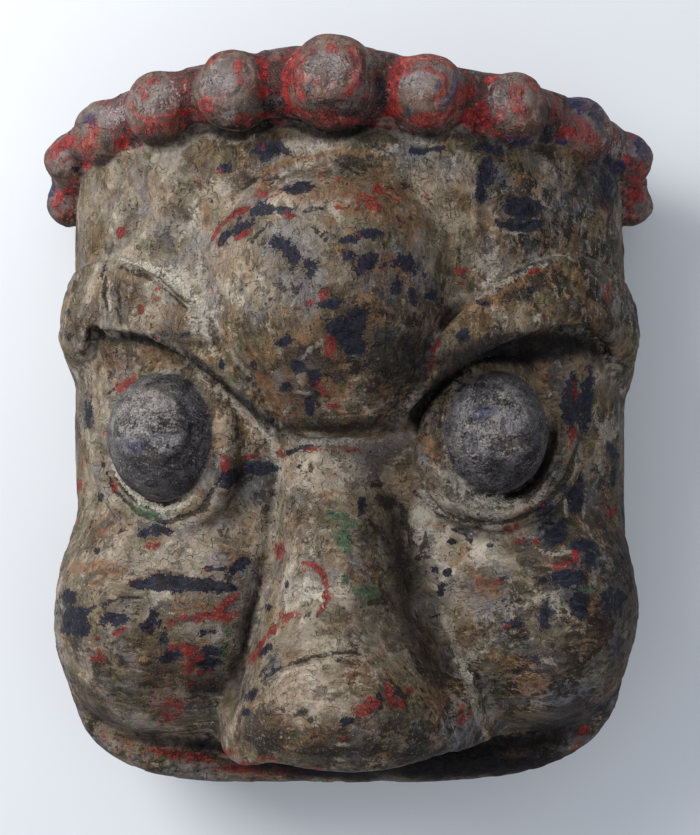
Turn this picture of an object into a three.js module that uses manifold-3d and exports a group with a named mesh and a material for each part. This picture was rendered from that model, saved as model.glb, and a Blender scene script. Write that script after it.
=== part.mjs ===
// A wrathful cham dance mask of layered paper pulp, moulded as one hollow shell: face form, forehead boss, brows, bulging
// eyes with rolled lids, cheeks, broad nose, lower lip, and a crown of eleven knobs on a band.
// Millimetres. +X is the right of the face as seen from the front, +Y points to the crown, +Z points out of the face.
// The mask lies on its flat back rim in the plane z = 0.
import * as THREE from 'three';
import { mergeVertices } from 'three/addons/utils/BufferGeometryUtils.js';
import Module from 'manifold-3d';

// ---- driving sizes ----------------------------------------------------------------------------------------------------
const SHIFT = [0.7, 2.3, 0];                        // moves the modelling origin to the middle of the mask's box
const WALL = 11;                                  // paper shell
const NOSE_WALL = 12;                             // a little thicker where nose and boss are hollowed out
const HEAD_STEPS = [22, 26, 6];                   // facets across, along and up the head form
const INNER_STEPS = [12, 14, 4];                  // the same for the plainer inside
const BOSS_STEPS = [24, 14];
const NOSE_STEPS = [26, 18];
const EYE_STEPS = [16, 10];
const LID_STEPS = [7, 22];
const KNOB_STEPS = [10, 6];
const FRONT_FROM = 50, HOLLOW_FROM = 60;          // nose and boss, and their hollows, are modelled from these heights up
const ROLL_SIDES = 8;                             // sides of the brows and of the crown band

// head form: a superellipsoid that is boxier along the face, cut by an upright plan outline (the side walls)
const HEAD = { a: 147, top: 160, bottom: 152, height: 132, sink: 16, y0: -4, p: 2.2, qTop: 13, qBottom: 5, r: 2.2 };
const PLAN = { a: 136.5, top: 155, bottom: 146, y0: -4, m: 6, mBottom: 5 };
const HEAD_BLEND = 24;

// crown: [x, y, z, radius] of each knob; the band behind them is a share of their radius, set out and back a little
const KNOBS = [
  [-137.9, 105.3, 28, 11.5], [-132.3, 122.6, 54, 13.1], [-111.7, 130.9, 86, 15.5], [-83.9, 138.4, 112, 17],
  [-50.7, 144, 127, 18.1], [-7.9, 146.3, 134, 20.8], [33.5, 141.8, 127, 18.7], [72.1, 137.3, 113, 16.8],
  [105, 131, 88, 15.9], [131.4, 122.6, 54, 12.9], [137, 104.8, 28, 11]];
const BAND = { share: 0.76, out: 1.5, back: 13 };

// brows: spine points [x, y, z, half-width] from the outer hook to the inner end, and how flat the ribbon lies
const BROWS = [
  [[-126.8, 30, 60, 5.5], [-126.5, 45, 70, 11.5], [-117, 54.6, 85, 16.2], [-99.9, 54.3, 100, 16.4], [-79.7, 46.3, 113, 14.6],
    [-63, 33, 122, 11], [-47.2, 15.2, 127, 7], [-33.5, -4.6, 127, 4]],
  [[126.7, 23.4, 62, 5.5], [124.2, 40, 71, 11.7], [112.8, 53.8, 85, 16.8], [93.7, 55.6, 99, 16], [74.4, 48.6, 113, 14.4],
    [56.8, 38.2, 121, 12], [42, 26, 126, 9.4], [29.5, 12.5, 127, 6.6], [19.4, -2, 127, 4.2]]];
const BROW_FLAT = 0.7;

// eyes and lids: centre, radii (and tube), outward direction
const EYES = [
  { c: [-81.7, -8.8, 105.5], r: [28, 29.6, 27], n: [-0.34, 0.02, 0.94] },
  { c: [62.1, -6.8, 115], r: [26.4, 28.2, 26.5], n: [0.26, 0.02, 0.96] }];
const LIDS = [
  { c: [-83.8, -11.6, 104.6], r: [31, 35], tube: 8.4, n: [-0.42, -0.02, 0.9] },
  { c: [67.1, -10.1, 113.8], r: [33, 33.5], tube: 8, n: [0.34, -0.02, 0.93] }];

const CHEEKS = [                                  // outer fullness, then the flatter part beside the nose
  { c: [-93.8, -92, 62], r: [45.5, 56.5, 65] }, { c: [91.4, -91, 62], r: [44.1, 55, 65] },
  { c: [-62, -88, 60], r: [40, 58, 64] }, { c: [64, -88, 60], r: [38, 56, 62] }];

// forehead boss: a dome that narrows to a blunt end above the nose; stations are [y, half-width, front z, middle x]
const BOSS_DOME = { c: [-8.7, 69.9, 92], r: [58.7, 49.8, 72] };
const BOSS = { z0: 88, shear: 0, n: 2.4, n2: 0, taper: 0, y0: -8.5, y1: 62,
  stations: [[-20, 20, 144, -5.5], [-9, 26, 147, -5.5], [8, 38, 155, -6], [21, 47, 159, -6.5], [34, 54, 162, -8], [52, 55, 163, -8.5], [70, 46, 160, -8.5]] };

// nose: a boxy ridge that widens and rises to the tip, its side planes leaning in, with two low wings at the corners
const NOSE = { z0: 78, shear: 0.12, n: 2.6, n2: 1.6, taper: 0.42, y0: -146, y1: -11,
  stations: [[-150, 62, 166, 4.8], [-137, 60.8, 173, 5], [-119, 54.4, 177, 3.2], [-101, 46.2, 171, 1.5], [-80, 38.5, 160, 0],
    [-58, 32.5, 150, -0.4], [-36, 29, 141, -1.8], [-8, 26, 131, -3]] };
const NOSE_CORNERS = [[-54, 15, 6], [58, 13, 2]];     // x, spread and how much lower the end reaches there
const NOSE_TIP = { c: [-2, -124.5, 136], r: [35.5, 27.2, 48.6] };
const NOSE_WINGS = [{ c: [-42, -133.5, 104], r: [15.5, 17.5, 32] }, { c: [45, -129.5, 104], r: [16, 17, 32] }];

// lower lip: a ledge of its own plan under cheeks and nose, with a rounded outer edge
const LEDGE = { x0: -2, y0: -100, a: 130.5, b: 71.5, db: -1.5, n: 3.6, dn: -0.4, z: 60, tuck: 22 };   // squarer on the left, leaning in to the rim
const LIP = { from: 16, to: 164, r: 8.2, taper: 1.6, z: 64, fall: 12, steps: 21 };

// ---- distance functions -----------------------------------------------------------------------------------------------
const clamp = (x, a, b) => Math.min(b, Math.max(a, x));
const step = (a, b, x) => { const t = clamp((x - a) / (b - a), 0, 1); return t * t * (3 - 2 * t); };
const join = (a, b, k) => { const h = clamp(0.5 + 0.5 * (b - a) / k, 0, 1); return b + (a - b) * h - k * h * (1 - h); };
const cut = (a, b, k) => -join(-a, -b, k);

function axesOf(n) {                              // rows: across, up, outward
  const w = new THREE.Vector3(...n).normalize();
  const u = new THREE.Vector3(0, 1, 0).cross(w).normalize();
  return [u, w.clone().cross(u), w];
}
for (const e of [...EYES, ...LIDS]) e.axes = axesOf(e.n);

function ellipsoid(x, y, z, e) {
  let a = x - e.c[0], b = y - e.c[1], c = z - e.c[2];
  if (e.axes) {
    const [u, v, w] = e.axes;
    [a, b, c] = [u.x * a + u.y * b + u.z * c, v.x * a + v.y * b + v.z * c, w.x * a + w.y * b + w.z * c];
  }
  const k0 = Math.hypot(a / e.r[0], b / e.r[1], c / e.r[2]);
  const k1 = Math.hypot(a / e.r[0] ** 2, b / e.r[1] ** 2, c / e.r[2] ** 2) + 1e-9;
  return k0 * (k0 - 1) / k1;
}

function headForm(x, y, z) {
  const up = y > HEAD.y0;
  const a = HEAD.a, c = HEAD.height - HEAD.sink * step(15, -50, y), b = up ? HEAD.top : HEAD.bottom, q = up ? HEAD.qTop : HEAD.qBottom;
  const u = Math.abs(x) / a, v = Math.abs(y - HEAD.y0) / b, w = Math.abs(z) / c;
  const f = u ** HEAD.p + v ** q + w ** HEAD.r - 1;
  const g = Math.hypot(HEAD.p * u ** (HEAD.p - 1) / a, q * v ** (q - 1) / b, HEAD.r * w ** (HEAD.r - 1) / c);
  const upper = f / Math.max(g, 0.006);
  const m = up ? PLAN.m : PLAN.mBottom;
  const e = ((Math.abs(x) / PLAN.a) ** m + (Math.abs(y - PLAN.y0) / (up ? PLAN.top : PLAN.bottom)) ** m) ** (1 / m) + 1e-9;
  const rho = Math.hypot(x, y - PLAN.y0), plan = rho < 1 ? -PLAN.a : rho * (1 - 1 / e);
  return cut(upper, plan, HEAD_BLEND);
}

function spline(points, count) {                  // Catmull-Rom through points, any number of components
  const p = [points[0].map((v, i) => 2 * v - points[1][i]), ...points, points.at(-1).map((v, i) => 2 * v - points.at(-2)[i])];
  const out = [];
  for (let s = 0; s < count; s++) {
    const t = Math.min(s / (count - 1) * (points.length - 1), points.length - 1 - 1e-9), k = Math.floor(t), f = t - k;
    out.push(points[0].map((_, i) => 0.5 * (2 * p[k + 1][i] + (p[k + 2][i] - p[k][i]) * f
      + (2 * p[k][i] - 5 * p[k + 1][i] + 4 * p[k + 2][i] - p[k + 3][i]) * f * f
      + (3 * p[k + 1][i] - p[k][i] - 3 * p[k + 2][i] + p[k + 3][i]) * f ** 3)));
  }
  return out;
}

function station(y, s, col) {                     // smooth value of a column of stations at y
  if (y <= s[0][0]) return s[0][col];
  const n = s.length - 1;
  if (y >= s[n][0]) return s[n][col];
  let k = 0;
  while (y > s[k + 1][0]) k++;
  const slope = (i) => { const a = s[Math.max(i - 1, 0)], b = s[Math.min(i + 1, n)]; return (b[col] - a[col]) / (b[0] - a[0]); };
  const h = s[k + 1][0] - s[k][0], t = (y - s[k][0]) / h;
  return (2 * t ** 3 - 3 * t * t + 1) * s[k][col] + (t ** 3 - 2 * t * t + t) * h * slope(k)
    + (3 * t * t - 2 * t ** 3) * s[k + 1][col] + (t ** 3 - t * t) * h * slope(k + 1);
}

function ridge(x, y, z, f) {                      // superelliptic section that follows the stations
  const w = station(y, f.stations, 1), h = station(y, f.stations, 2) - f.z0, zz = z - f.z0;
  const lean = 1 + f.taper * clamp((z - 98) / 80, -0.2, 1) * step(-20, -80, y), n = f.n + f.n2 * step(-95, -138, y);
  const xx = (x - station(y, f.stations, 3) + f.shear * zz) * lean;
  const e = ((Math.abs(xx) / w) ** n + (Math.abs(zz) / h) ** n) ** (1 / n) + 1e-6;
  return Math.hypot(xx, zz) * (1 - 1 / e);
}

function boss(x, y, z) {
  const stem = cut(cut(ridge(x, y, z, BOSS), BOSS.y0 - y, 8), y - BOSS.y1, 30);
  return join(ellipsoid(x, y, z, BOSS_DOME), stem, 16);
}

function nose(x, y, z) {
  let end = NOSE.y0;
  for (const [cx, spread, low] of NOSE_CORNERS) end -= low * Math.exp(-(((x - cx) / spread) ** 2));
  let d = cut(cut(ridge(x, y, z, NOSE), y - NOSE.y1, 6), end - y, 6);
  d = join(d, ellipsoid(x, y, z, NOSE_TIP), 13);
  for (const w of NOSE_WINGS) d = join(d, ellipsoid(x, y, z, w), 7);
  return d;
}

const ledgeSide = (side) => ({ n: LEDGE.n + LEDGE.dn * side, b: LEDGE.b + LEDGE.db * side });
function ledge(x, y, z) {
  const p = x - LEDGE.x0, q = y - LEDGE.y0, { n, b } = ledgeSide(Math.tanh(p / 45)), tuck = LEDGE.tuck * clamp(1 - z / 50, 0, 1);
  const e = ((Math.abs(p) / (LEDGE.a - tuck)) ** n + (Math.abs(q) / (b - tuck)) ** n) ** (1 / n) + 1e-6;
  return cut(cut(Math.hypot(p, q) * (1 - 1 / e), z - LEDGE.z, 10), q, 10);
}

const lipSpine = [];
for (let i = 0; i < LIP.steps; i++) {
  const t = THREE.MathUtils.degToRad(LIP.from + (LIP.to - LIP.from) * i / (LIP.steps - 1)), c = Math.cos(t), s = Math.sin(t);
  const { n, b } = ledgeSide(Math.tanh(c * 2.6)), k = 2 / n, r = LIP.r - LIP.taper * Math.abs(c);
  lipSpine.push([LEDGE.x0 + Math.sign(c) * Math.abs(c) ** k * (LEDGE.a - r), LEDGE.y0 - s ** k * (b - r), LIP.z - LIP.fall * Math.abs(c) ** 3, r]);
}
const browSpines = BROWS.map((b) => spline(b, 15));
const bandSpine = spline(KNOBS.map(([x, y, z, r]) => [x, y + BAND.out, z - BAND.back, r * BAND.share]), 31);

const face = (x, y, z) => CHEEKS.reduce((d, c) => join(d, ellipsoid(x, y, z, c), 16), headForm(x, y, z));
const headHollow = (x, y, z) => join(face(x, y, z), ledge(x, y, z), 14) + WALL;
const front = (field, from = FRONT_FROM) => (x, y, z) => cut(field(x, y, z), from - z, 8);   // only what stands out of the head form
const noseHollow = (x, y, z) => nose(x, y, z) + NOSE_WALL;
const bossHollow = (x, y, z) => boss(x, y, z) + NOSE_WALL;

// ---- solids -----------------------------------------------------------------------------------------------------------
const HEAD_CENTRE = [0, -4, 0], BOSS_CENTRE = [-8, 50, 100], NOSE_CENTRE = [1, -92, 105];

function reach(field, c, dx, dy, dz) {            // distance from a centre to the outermost surface along a direction
  const at = (t) => field(c[0] + dx * t, c[1] + dy * t, c[2] + dz * t);
  let t = 260;
  while (t > 4 && at(t) > 0) t -= 2;
  let lo = t, hi = t + 2;
  for (let i = 0; i < 18; i++) { const m = (lo + hi) / 2; if (at(m) > 0) hi = m; else lo = m; }
  return (lo + hi) / 2;
}

function bare(g) {                                // positions only, shared points merged
  g.deleteAttribute('normal'); g.deleteAttribute('uv'); g.clearGroups();
  return mergeVertices(g, 1e-4);
}

// a box standing on z = 0, every point of its top and sides pushed out to the field, its underside kept flat
function dome(field, size, steps, sinkBase) {
  const g = bare(new THREE.BoxGeometry(...size, ...steps).translate(0, 0, size[2] / 2)), p = g.attributes.position, c = HEAD_CENTRE;
  for (let i = 0; i < p.count; i++) {
    const x = p.getX(i), y = p.getY(i), z = p.getZ(i), l = Math.hypot(x, y, z);
    if (l < 1e-6) { p.setXYZ(i, c[0], c[1], -sinkBase); continue; }
    const share = z < 1e-6 ? Math.max(Math.abs(x) / (size[0] / 2), Math.abs(y) / (size[1] / 2)) : 1;
    const t = reach(field, c, x / l, y / l, z / l) * share;
    p.setXYZ(i, c[0] + x / l * t, c[1] + y / l * t, z < 1e-6 ? -sinkBase : c[2] + z / l * t);
  }
  return g;
}

// a sphere whose poles lie along Z, every point moved out to the field
function blob(field, c, steps) {
  const g = bare(new THREE.SphereGeometry(1, ...steps).rotateX(Math.PI / 2)), p = g.attributes.position;
  for (let i = 0; i < p.count; i++) {
    const l = Math.hypot(p.getX(i), p.getY(i), p.getZ(i)), x = p.getX(i) / l, y = p.getY(i) / l, z = p.getZ(i) / l;
    const t = reach(field, c, x, y, z);
    p.setXYZ(i, c[0] + x * t, c[1] + y * t, c[2] + z * t);
  }
  return g;
}

const placed = (e) => new THREE.Matrix4().makeBasis(...e.axes).setPosition(...e.c);
function ledgeBlock() {                           // the ledge stands on the rim plane, its straight side inside the head
  const pts = [], steps = 36;
  for (let i = 0; i <= steps; i++) {
    const t = Math.PI * i / steps, c = Math.cos(t), { n, b } = ledgeSide(Math.tanh(c * 2.6)), k = 2 / n;
    pts.push(new THREE.Vector2(Math.sign(c) * Math.abs(c) ** k * LEDGE.a, -(Math.max(Math.sin(t), 0) ** k) * b));
  }
  const g = bare(new THREE.ExtrudeGeometry(new THREE.Shape(pts), { depth: LEDGE.z, bevelEnabled: false, steps: 1 })), p = g.attributes.position;
  for (let i = 0; i < p.count; i++) {
    const low = p.getZ(i) < 1 ? 1 : 0;
    p.setXYZ(i, LEDGE.x0 + p.getX(i) * (1 - low * LEDGE.tuck / LEDGE.a), LEDGE.y0 + p.getY(i) * (1 - low * LEDGE.tuck / LEDGE.b), p.getZ(i));
  }
  return g;
}
const eyeball = (e) => bare(new THREE.SphereGeometry(1, ...EYE_STEPS).rotateX(Math.PI / 2).scale(...e.r).applyMatrix4(placed(e)));

function lidRoll(l) {                             // rolled rim, thinner over the top of the eye
  const g = bare(new THREE.TorusGeometry(100, 1, ...LID_STEPS)), p = g.attributes.position;
  for (let i = 0; i < p.count; i++) {
    const x = p.getX(i), y = p.getY(i), rho = Math.hypot(x, y), cx = x / rho, cy = y / rho;
    const tube = l.tube * (1 - 0.55 * clamp(cy * 0.8 + 0.2, 0, 1)), out = (rho - 100) * tube;
    p.setXYZ(i, cx * (l.r[0] + out), cy * (l.r[1] + out), p.getZ(i) * tube);
  }
  return g.applyMatrix4(placed(l));
}

// a capsule bent along a spine: each ring of a capsule of unit radius is carried to its place and radius on the spine
function roll(spine, flat = 1) {
  const n = spine.length, caps = 3, g = bare(new THREE.CapsuleGeometry(1, n - 1, caps, ROLL_SIDES, n - 1)), p = g.attributes.position;
  const at = spine.map((s) => new THREE.Vector3(s[0], s[1], s[2]));
  const frames = at.map((_, i) => {
    const t = at[Math.min(i + 1, n - 1)].clone().sub(at[Math.max(i - 1, 0)]).normalize();
    const u = new THREE.Vector3(0, 0, 1).cross(t).normalize();
    return [t, u, t.clone().cross(u)];
  });
  for (let i = 0; i < p.count; i++) {
    const along = p.getY(i) + (n - 1) / 2, k = clamp(Math.round(along), 0, n - 1), over = along < 0 ? along : along > n - 1 ? along - (n - 1) : 0;
    const [t, u, v] = frames[k], r = spine[k][3];
    const q = at[k].clone().addScaledVector(t, over * r).addScaledVector(u, p.getX(i) * r).addScaledVector(v, -p.getZ(i) * r * flat);
    p.setXYZ(i, q.x, q.y, q.z);
  }
  return g;
}

const wasm = await Module();
wasm.setup();
function solid(g) {
  return new wasm.Manifold(new wasm.Mesh({ numProp: 3, vertProperties: new Float32Array(g.attributes.position.array), triVerts: new Uint32Array(g.index.array) }));
}

let body = solid(dome(face, [270, 320, 125], HEAD_STEPS, 0));
const grown = [
  blob(front(boss), BOSS_CENTRE, BOSS_STEPS), blob(front(nose), NOSE_CENTRE, NOSE_STEPS),
  ledgeBlock(), roll(lipSpine), ...LIDS.map(lidRoll), ...EYES.map(eyeball), ...browSpines.map((s) => roll(s, BROW_FLAT)), roll(bandSpine),
  ...KNOBS.map(([x, y, z, r]) => bare(new THREE.SphereGeometry(r, ...KNOB_STEPS).translate(x, y, z)))];
for (const g of grown) body = body.add(solid(g));
for (const g of [dome(headHollow, [240, 285, 112], INNER_STEPS, 4), blob(front(noseHollow, HOLLOW_FROM), NOSE_CENTRE, [16, 10]), blob(front(bossHollow, HOLLOW_FROM), BOSS_CENTRE, [16, 8])]) {
  body = body.subtract(solid(g));
}

const out = body.getMesh();
const geometry = new THREE.BufferGeometry();
geometry.setAttribute('position', new THREE.Float32BufferAttribute(out.vertProperties, 3));
geometry.setIndex(new THREE.Uint32BufferAttribute(out.triVerts, 1));
geometry.computeVertexNormals();

const mask = new THREE.Mesh(geometry, new THREE.MeshStandardMaterial({ color: 0x5a4f43, roughness: 0.72, metalness: 0 }));
mask.name = 'mask';
mask.position.set(...SHIFT);

const group = new THREE.Group();
group.add(mask);
export default group;
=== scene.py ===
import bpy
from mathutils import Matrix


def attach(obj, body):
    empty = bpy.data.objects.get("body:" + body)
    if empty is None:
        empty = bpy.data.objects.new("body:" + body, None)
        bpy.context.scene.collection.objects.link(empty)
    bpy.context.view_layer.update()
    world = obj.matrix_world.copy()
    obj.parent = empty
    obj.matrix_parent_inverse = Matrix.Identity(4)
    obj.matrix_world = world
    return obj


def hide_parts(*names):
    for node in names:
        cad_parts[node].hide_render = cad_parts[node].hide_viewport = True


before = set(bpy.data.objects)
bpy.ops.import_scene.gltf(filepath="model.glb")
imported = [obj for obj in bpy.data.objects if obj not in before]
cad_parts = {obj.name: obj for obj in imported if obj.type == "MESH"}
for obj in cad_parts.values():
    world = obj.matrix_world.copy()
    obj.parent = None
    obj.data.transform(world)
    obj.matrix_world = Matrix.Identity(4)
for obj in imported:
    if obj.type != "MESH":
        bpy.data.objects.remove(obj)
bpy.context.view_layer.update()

import math

import bpy
import numpy as np

# An old cham dance mask of layered paper and paint, lying on its back rim and seen from straight above.
# The form is a distance field (millimetres) that is meshed finely, roughened in the mesh, and painted by procedural
# nodes;
# the larger patches of old paint, and of painted light and shade, are listed as ellipses and strokes.

# ---- the mask's form, in millimetres in the modelling frame (moved by SHIFT into the part's frame) ------------------------
SHIFT = np.array([0.7, 2.3, 0.0])
EYE_H, EYE_F, EYE_U, EYE_V = 1000.0, 1980.0, 350.0, 417.5     # the viewpoint: height over the rim, focal length and middle in pixels
HEAD = dict(a=147.0, top=160.0, bottom=152.0, height=132.0, sink=16.0, y0=-4.0, p=2.2, qt=13.0, qb=5.0, r=2.2)
PLAN = dict(a=136.5, top=155.0, bottom=146.0, y0=-4.0, m=6.0, mb=5.0)
WALL, NOSE_WALL = 11.0, 12.0
# crown knobs: x, y, z, radius, then the way their worn fronts face
KNOBS = np.array([
    [-137.9, 105.3, 28, 11.5, -0.55, 0.15, 0.8], [-132.3, 122.6, 54, 13.1, -0.45, 0.25, 0.85], [-111.7, 130.9, 86, 15.5, -0.28, 0.3, 0.9],
    [-83.9, 138.4, 112, 17.0, -0.24, 0.33, 0.9], [-50.7, 144.0, 127, 18.1, -0.22, 0.3, 0.92], [-7.9, 146.3, 134, 20.8, -0.1, 0.36, 0.92],
    [33.5, 141.8, 127, 18.7, -0.06, 0.3, 0.95], [72.1, 137.3, 113, 16.8, 0.08, 0.3, 0.95], [105.0, 131.0, 88, 15.9, 0.2, 0.18, 0.95],
    [131.4, 122.6, 54, 12.9, 0.45, 0.2, 0.85], [137.0, 104.8, 28, 11.0, 0.55, 0.1, 0.8]])
# brows: spine points x, y, z, half-width
BROWS = [np.array(b, float) for b in (
    [[-126.8, 30.0, 60, 5.5], [-126.5, 45.0, 70, 11.5], [-117.0, 54.6, 85, 16.2], [-100.4, 52.8, 100, 15.2], [-81.4, 44.1, 113, 12.0],
     [-64.8, 30.9, 122, 8.4], [-48.2, 14.0, 127, 5.6], [-33.5, -4.6, 127, 4.0]],
    [[126.7, 23.4, 62, 5.5], [124.2, 40.0, 71, 11.7], [112.8, 53.8, 85, 16.8], [93.7, 55.6, 99, 16.0], [74.4, 48.6, 113, 14.4],
     [56.8, 38.2, 121, 12.0], [42.0, 26.0, 126, 9.4], [29.5, 12.5, 127, 6.6], [19.4, -2.0, 127, 4.2]])]
BROW_OUT, BROW_TILT, SOCKET = (8.5, 10.0), (3.0, 4.0), (7.0, 10.0)        # stand-out, lift of the lower edge, hollow under it
EYES = [((-81.7, -8.8, 105.5), (28.0, 29.6, 27.0), (-0.34, 0.02, 0.94)), ((62.1, -6.8, 115.0), (26.4, 28.2, 26.5), (0.26, 0.02, 0.96))]
LIDS = [((-83.8, -11.6, 104.6), (31.0, 35.0), 8.4, (-0.42, -0.02, 0.90)), ((67.1, -10.1, 113.8), (33.0, 33.5), 8.0, (0.34, -0.02, 0.93))]
CHEEKS = [((-93.8, -92.0, 62.0), (45.5, 56.5, 65.0)), ((91.4, -91.0, 62.0), (44.1, 55.0, 65.0)), ((-62.0, -88.0, 60.0), (40.0, 58.0, 64.0)), ((64.0, -88.0, 60.0), (38.0, 56.0, 62.0))]
BOSS_DOME = ((-8.7, 69.9, 92.0), (58.7, 49.8, 72.0))
# stations along Y: y, half-width, front z, middle x
BOSS = dict(z0=88.0, shear=0.0, n=2.4, n2=0.0, taper=0.0, y0=-8.5, y1=62.0, st=np.array([
    [-20, 20, 144, -5.5], [-9, 26, 147, -5.5], [8, 38, 155, -6], [21, 47, 159, -6.5], [34, 54, 162, -8], [52, 55, 163, -8.5], [70, 46, 160, -8.5]], float))
NOSE = dict(z0=78.0, shear=0.12, n=2.6, n2=1.6, taper=0.42, y0=-146.0, y1=-4.0, st=np.array([
    [-150, 62, 166, 4.8], [-137, 60.8, 173, 5.0], [-119, 54.4, 177, 3.2], [-101, 46.2, 171, 1.5], [-80, 38.5, 160, 0], [-58, 32.5, 150, -0.4], [-36, 29, 141, -1.8], [-8, 26, 131, -3]], float))
NOSE_TIP = ((-2.0, -124.5, 136.0), (35.5, 27.2, 48.6))
NOSE_WINGS = [((-42.0, -133.5, 104.0), (15.5, 17.5, 32.0)), ((45.0, -129.5, 104.0), (16.0, 17.0, 32.0))]
LEDGE = dict(x0=-2.0, y0=-100.0, a=130.5, b=71.5, db=-1.5, n=3.8, dn=-0.05, z=67.0, tuck=22.0)
LIP = dict(lo=16.0, hi=164.0, r=8.2, taper=1.6, z=64.0, fall=12.0, n=41)


def sstep(a, b, x):
    t = np.clip((x - a) / (b - a), 0, 1)
    return t * t * (3 - 2 * t)


def smin(a, b, k):
    h = np.clip(0.5 + 0.5 * (b - a) / k, 0, 1)
    return b + (a - b) * h - k * h * (1 - h)


def smax(a, b, k):
    return -smin(-a, -b, k)


def axes_of(n):
    w = np.array(n, float)
    w /= np.linalg.norm(w)
    u = np.cross((0.0, 1.0, 0.0), w)
    u /= np.linalg.norm(u)
    return np.stack([u, np.cross(w, u), w])


def ellipsoid(P, c, r, n=None):
    q = P - np.array(c)
    if n is not None:
        q = q @ axes_of(n).T
    r = np.array(r)
    k0 = np.sqrt(((q / r) ** 2).sum(-1))
    k1 = np.sqrt(((q / (r * r)) ** 2).sum(-1)) + 1e-9
    return k0 * (k0 - 1) / k1


def spline(pts, n):
    p = np.vstack([2 * pts[0] - pts[1], pts, 2 * pts[-1] - pts[-2]])
    t = np.linspace(0, len(pts) - 1 - 1e-9, n)
    i = t.astype(int)
    f = (t - i)[:, None]
    a, b, c, d = p[i], p[i + 1], p[i + 2], p[i + 3]
    return 0.5 * (2 * b + (c - a) * f + (2 * a - 5 * b + 4 * c - d) * f * f + (3 * b - a - 3 * c + d) * f ** 3)


def chain(P, C, pad=13.0):
    """Distance to a string of round cones, far points left at a large value."""
    out = np.full(len(P), 50.0)
    lo, hi = (C[:, :3] - C[:, 3:]).min(0) - pad, (C[:, :3] + C[:, 3:]).max(0) + pad
    idx = np.nonzero(((P > lo) & (P < hi)).all(1))[0]
    Q = P[idx]
    d = np.full(len(Q), 50.0)
    for a, b in zip(C[:-1], C[1:]):
        r1, r2 = a[3], b[3]
        big = max(r1, r2) + pad
        m = np.nonzero(((Q > np.minimum(a[:3], b[:3]) - big) & (Q < np.maximum(a[:3], b[:3]) + big)).all(1))[0]
        if not len(m):
            continue
        ba = b[:3] - a[:3]
        l2 = ba @ ba
        rr = r1 - r2
        a2 = l2 - rr * rr
        il2 = 1.0 / l2
        pa = Q[m] - a[:3]
        y = pa @ ba
        z = y - l2
        x2 = ((pa * l2 - y[:, None] * ba) ** 2).sum(1)
        y2, z2 = y * y * l2, z * z * l2
        k = np.sign(rr) * rr * rr * x2
        v = (np.sqrt(x2 * a2 * il2) + y * rr) * il2 - r1
        v = np.where(np.sign(y) * a2 * y2 < k, np.sqrt(x2 + y2) * il2 - r1, v)
        v = np.where(np.sign(z) * a2 * z2 > k, np.sqrt(x2 + z2) * il2 - r2, v)
        d[m] = np.minimum(d[m], v)
    out[idx] = d
    return out


def head_form(P):
    x, y, z = P.T
    up = y > HEAD["y0"]
    a, c = HEAD["a"], HEAD["height"] - HEAD["sink"] * sstep(15.0, -50.0, y)
    b, q = np.where(up, HEAD["top"], HEAD["bottom"]), np.where(up, HEAD["qt"], HEAD["qb"])
    u, v, w = np.maximum(np.abs(x) / a, 1e-6), np.maximum(np.abs(y - HEAD["y0"]) / b, 1e-6), np.maximum(np.abs(z) / c, 1e-6)
    up_, vq, wr = u ** HEAD["p"], v ** q, w ** HEAD["r"]
    g = np.sqrt((HEAD["p"] * up_ / u / a) ** 2 + (q * vq / v / b) ** 2 + (HEAD["r"] * wr / w / c) ** 2)
    upper = (up_ + vq + wr - 1) / np.maximum(g, 0.006)
    m = np.where(up, PLAN["m"], PLAN["mb"])
    e = ((np.abs(x) / PLAN["a"]) ** m + (np.abs(y - PLAN["y0"]) / np.where(up, PLAN["top"], PLAN["bottom"])) ** m) ** (1 / m) + 1e-9
    rho = np.hypot(x, y - PLAN["y0"])
    plan = np.where(rho < 1, -PLAN["a"], rho * (1 - 1 / np.maximum(e, 1e-4)))
    return smax(upper, plan, 24.0)


def stations(y, st):
    n = len(st) - 1
    yy = np.clip(y, st[0, 0], st[n, 0])
    k = np.clip(np.searchsorted(st[:, 0], yy) - 1, 0, n - 1)
    i = np.arange(n + 1)
    lo, hi = np.maximum(i - 1, 0), np.minimum(i + 1, n)
    slope = (st[hi, 1:] - st[lo, 1:]) / (st[hi, 0] - st[lo, 0])[:, None]
    h = (st[k + 1, 0] - st[k, 0])[:, None]
    t = (yy - st[k, 0])[:, None] / h
    v = (2 * t ** 3 - 3 * t * t + 1) * st[k, 1:] + (t ** 3 - 2 * t * t + t) * h * slope[k] + (3 * t * t - 2 * t ** 3) * st[k + 1, 1:] + (t ** 3 - t * t) * h * slope[k + 1]
    return v.T


def ridge(P, f):
    w, top, xc = stations(P[:, 1], f["st"])
    z = P[:, 2] - f["z0"]
    x = P[:, 0] - xc + f["shear"] * z
    x = x * (1 + f["taper"] * np.clip((P[:, 2] - 98) / 80, -0.2, 1) * sstep(-20.0, -80.0, P[:, 1]))    # planes lean in towards the front
    n = f["n"] + f["n2"] * sstep(-95.0, -138.0, P[:, 1])                                   # boxier towards the tip
    e = ((np.abs(x) / w) ** n + (np.abs(z) / (top - f["z0"])) ** n) ** (1 / n) + 1e-6
    return np.hypot(x, z) * (1 - 1 / e)


def culled(fn, P, lo, hi):
    out = np.full(len(P), 50.0)
    m = np.nonzero(((P > np.array(lo, float)) & (P < np.array(hi, float))).all(1))[0]
    if len(m):
        out[m] = fn(P[m])
    return out


def boss_raw(P):
    y = P[:, 1]
    stem = smax(smax(ridge(P, BOSS), BOSS["y0"] - y, 8), y - BOSS["y1"], 30)
    return smin(ellipsoid(P, *BOSS_DOME), stem, 16)


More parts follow.
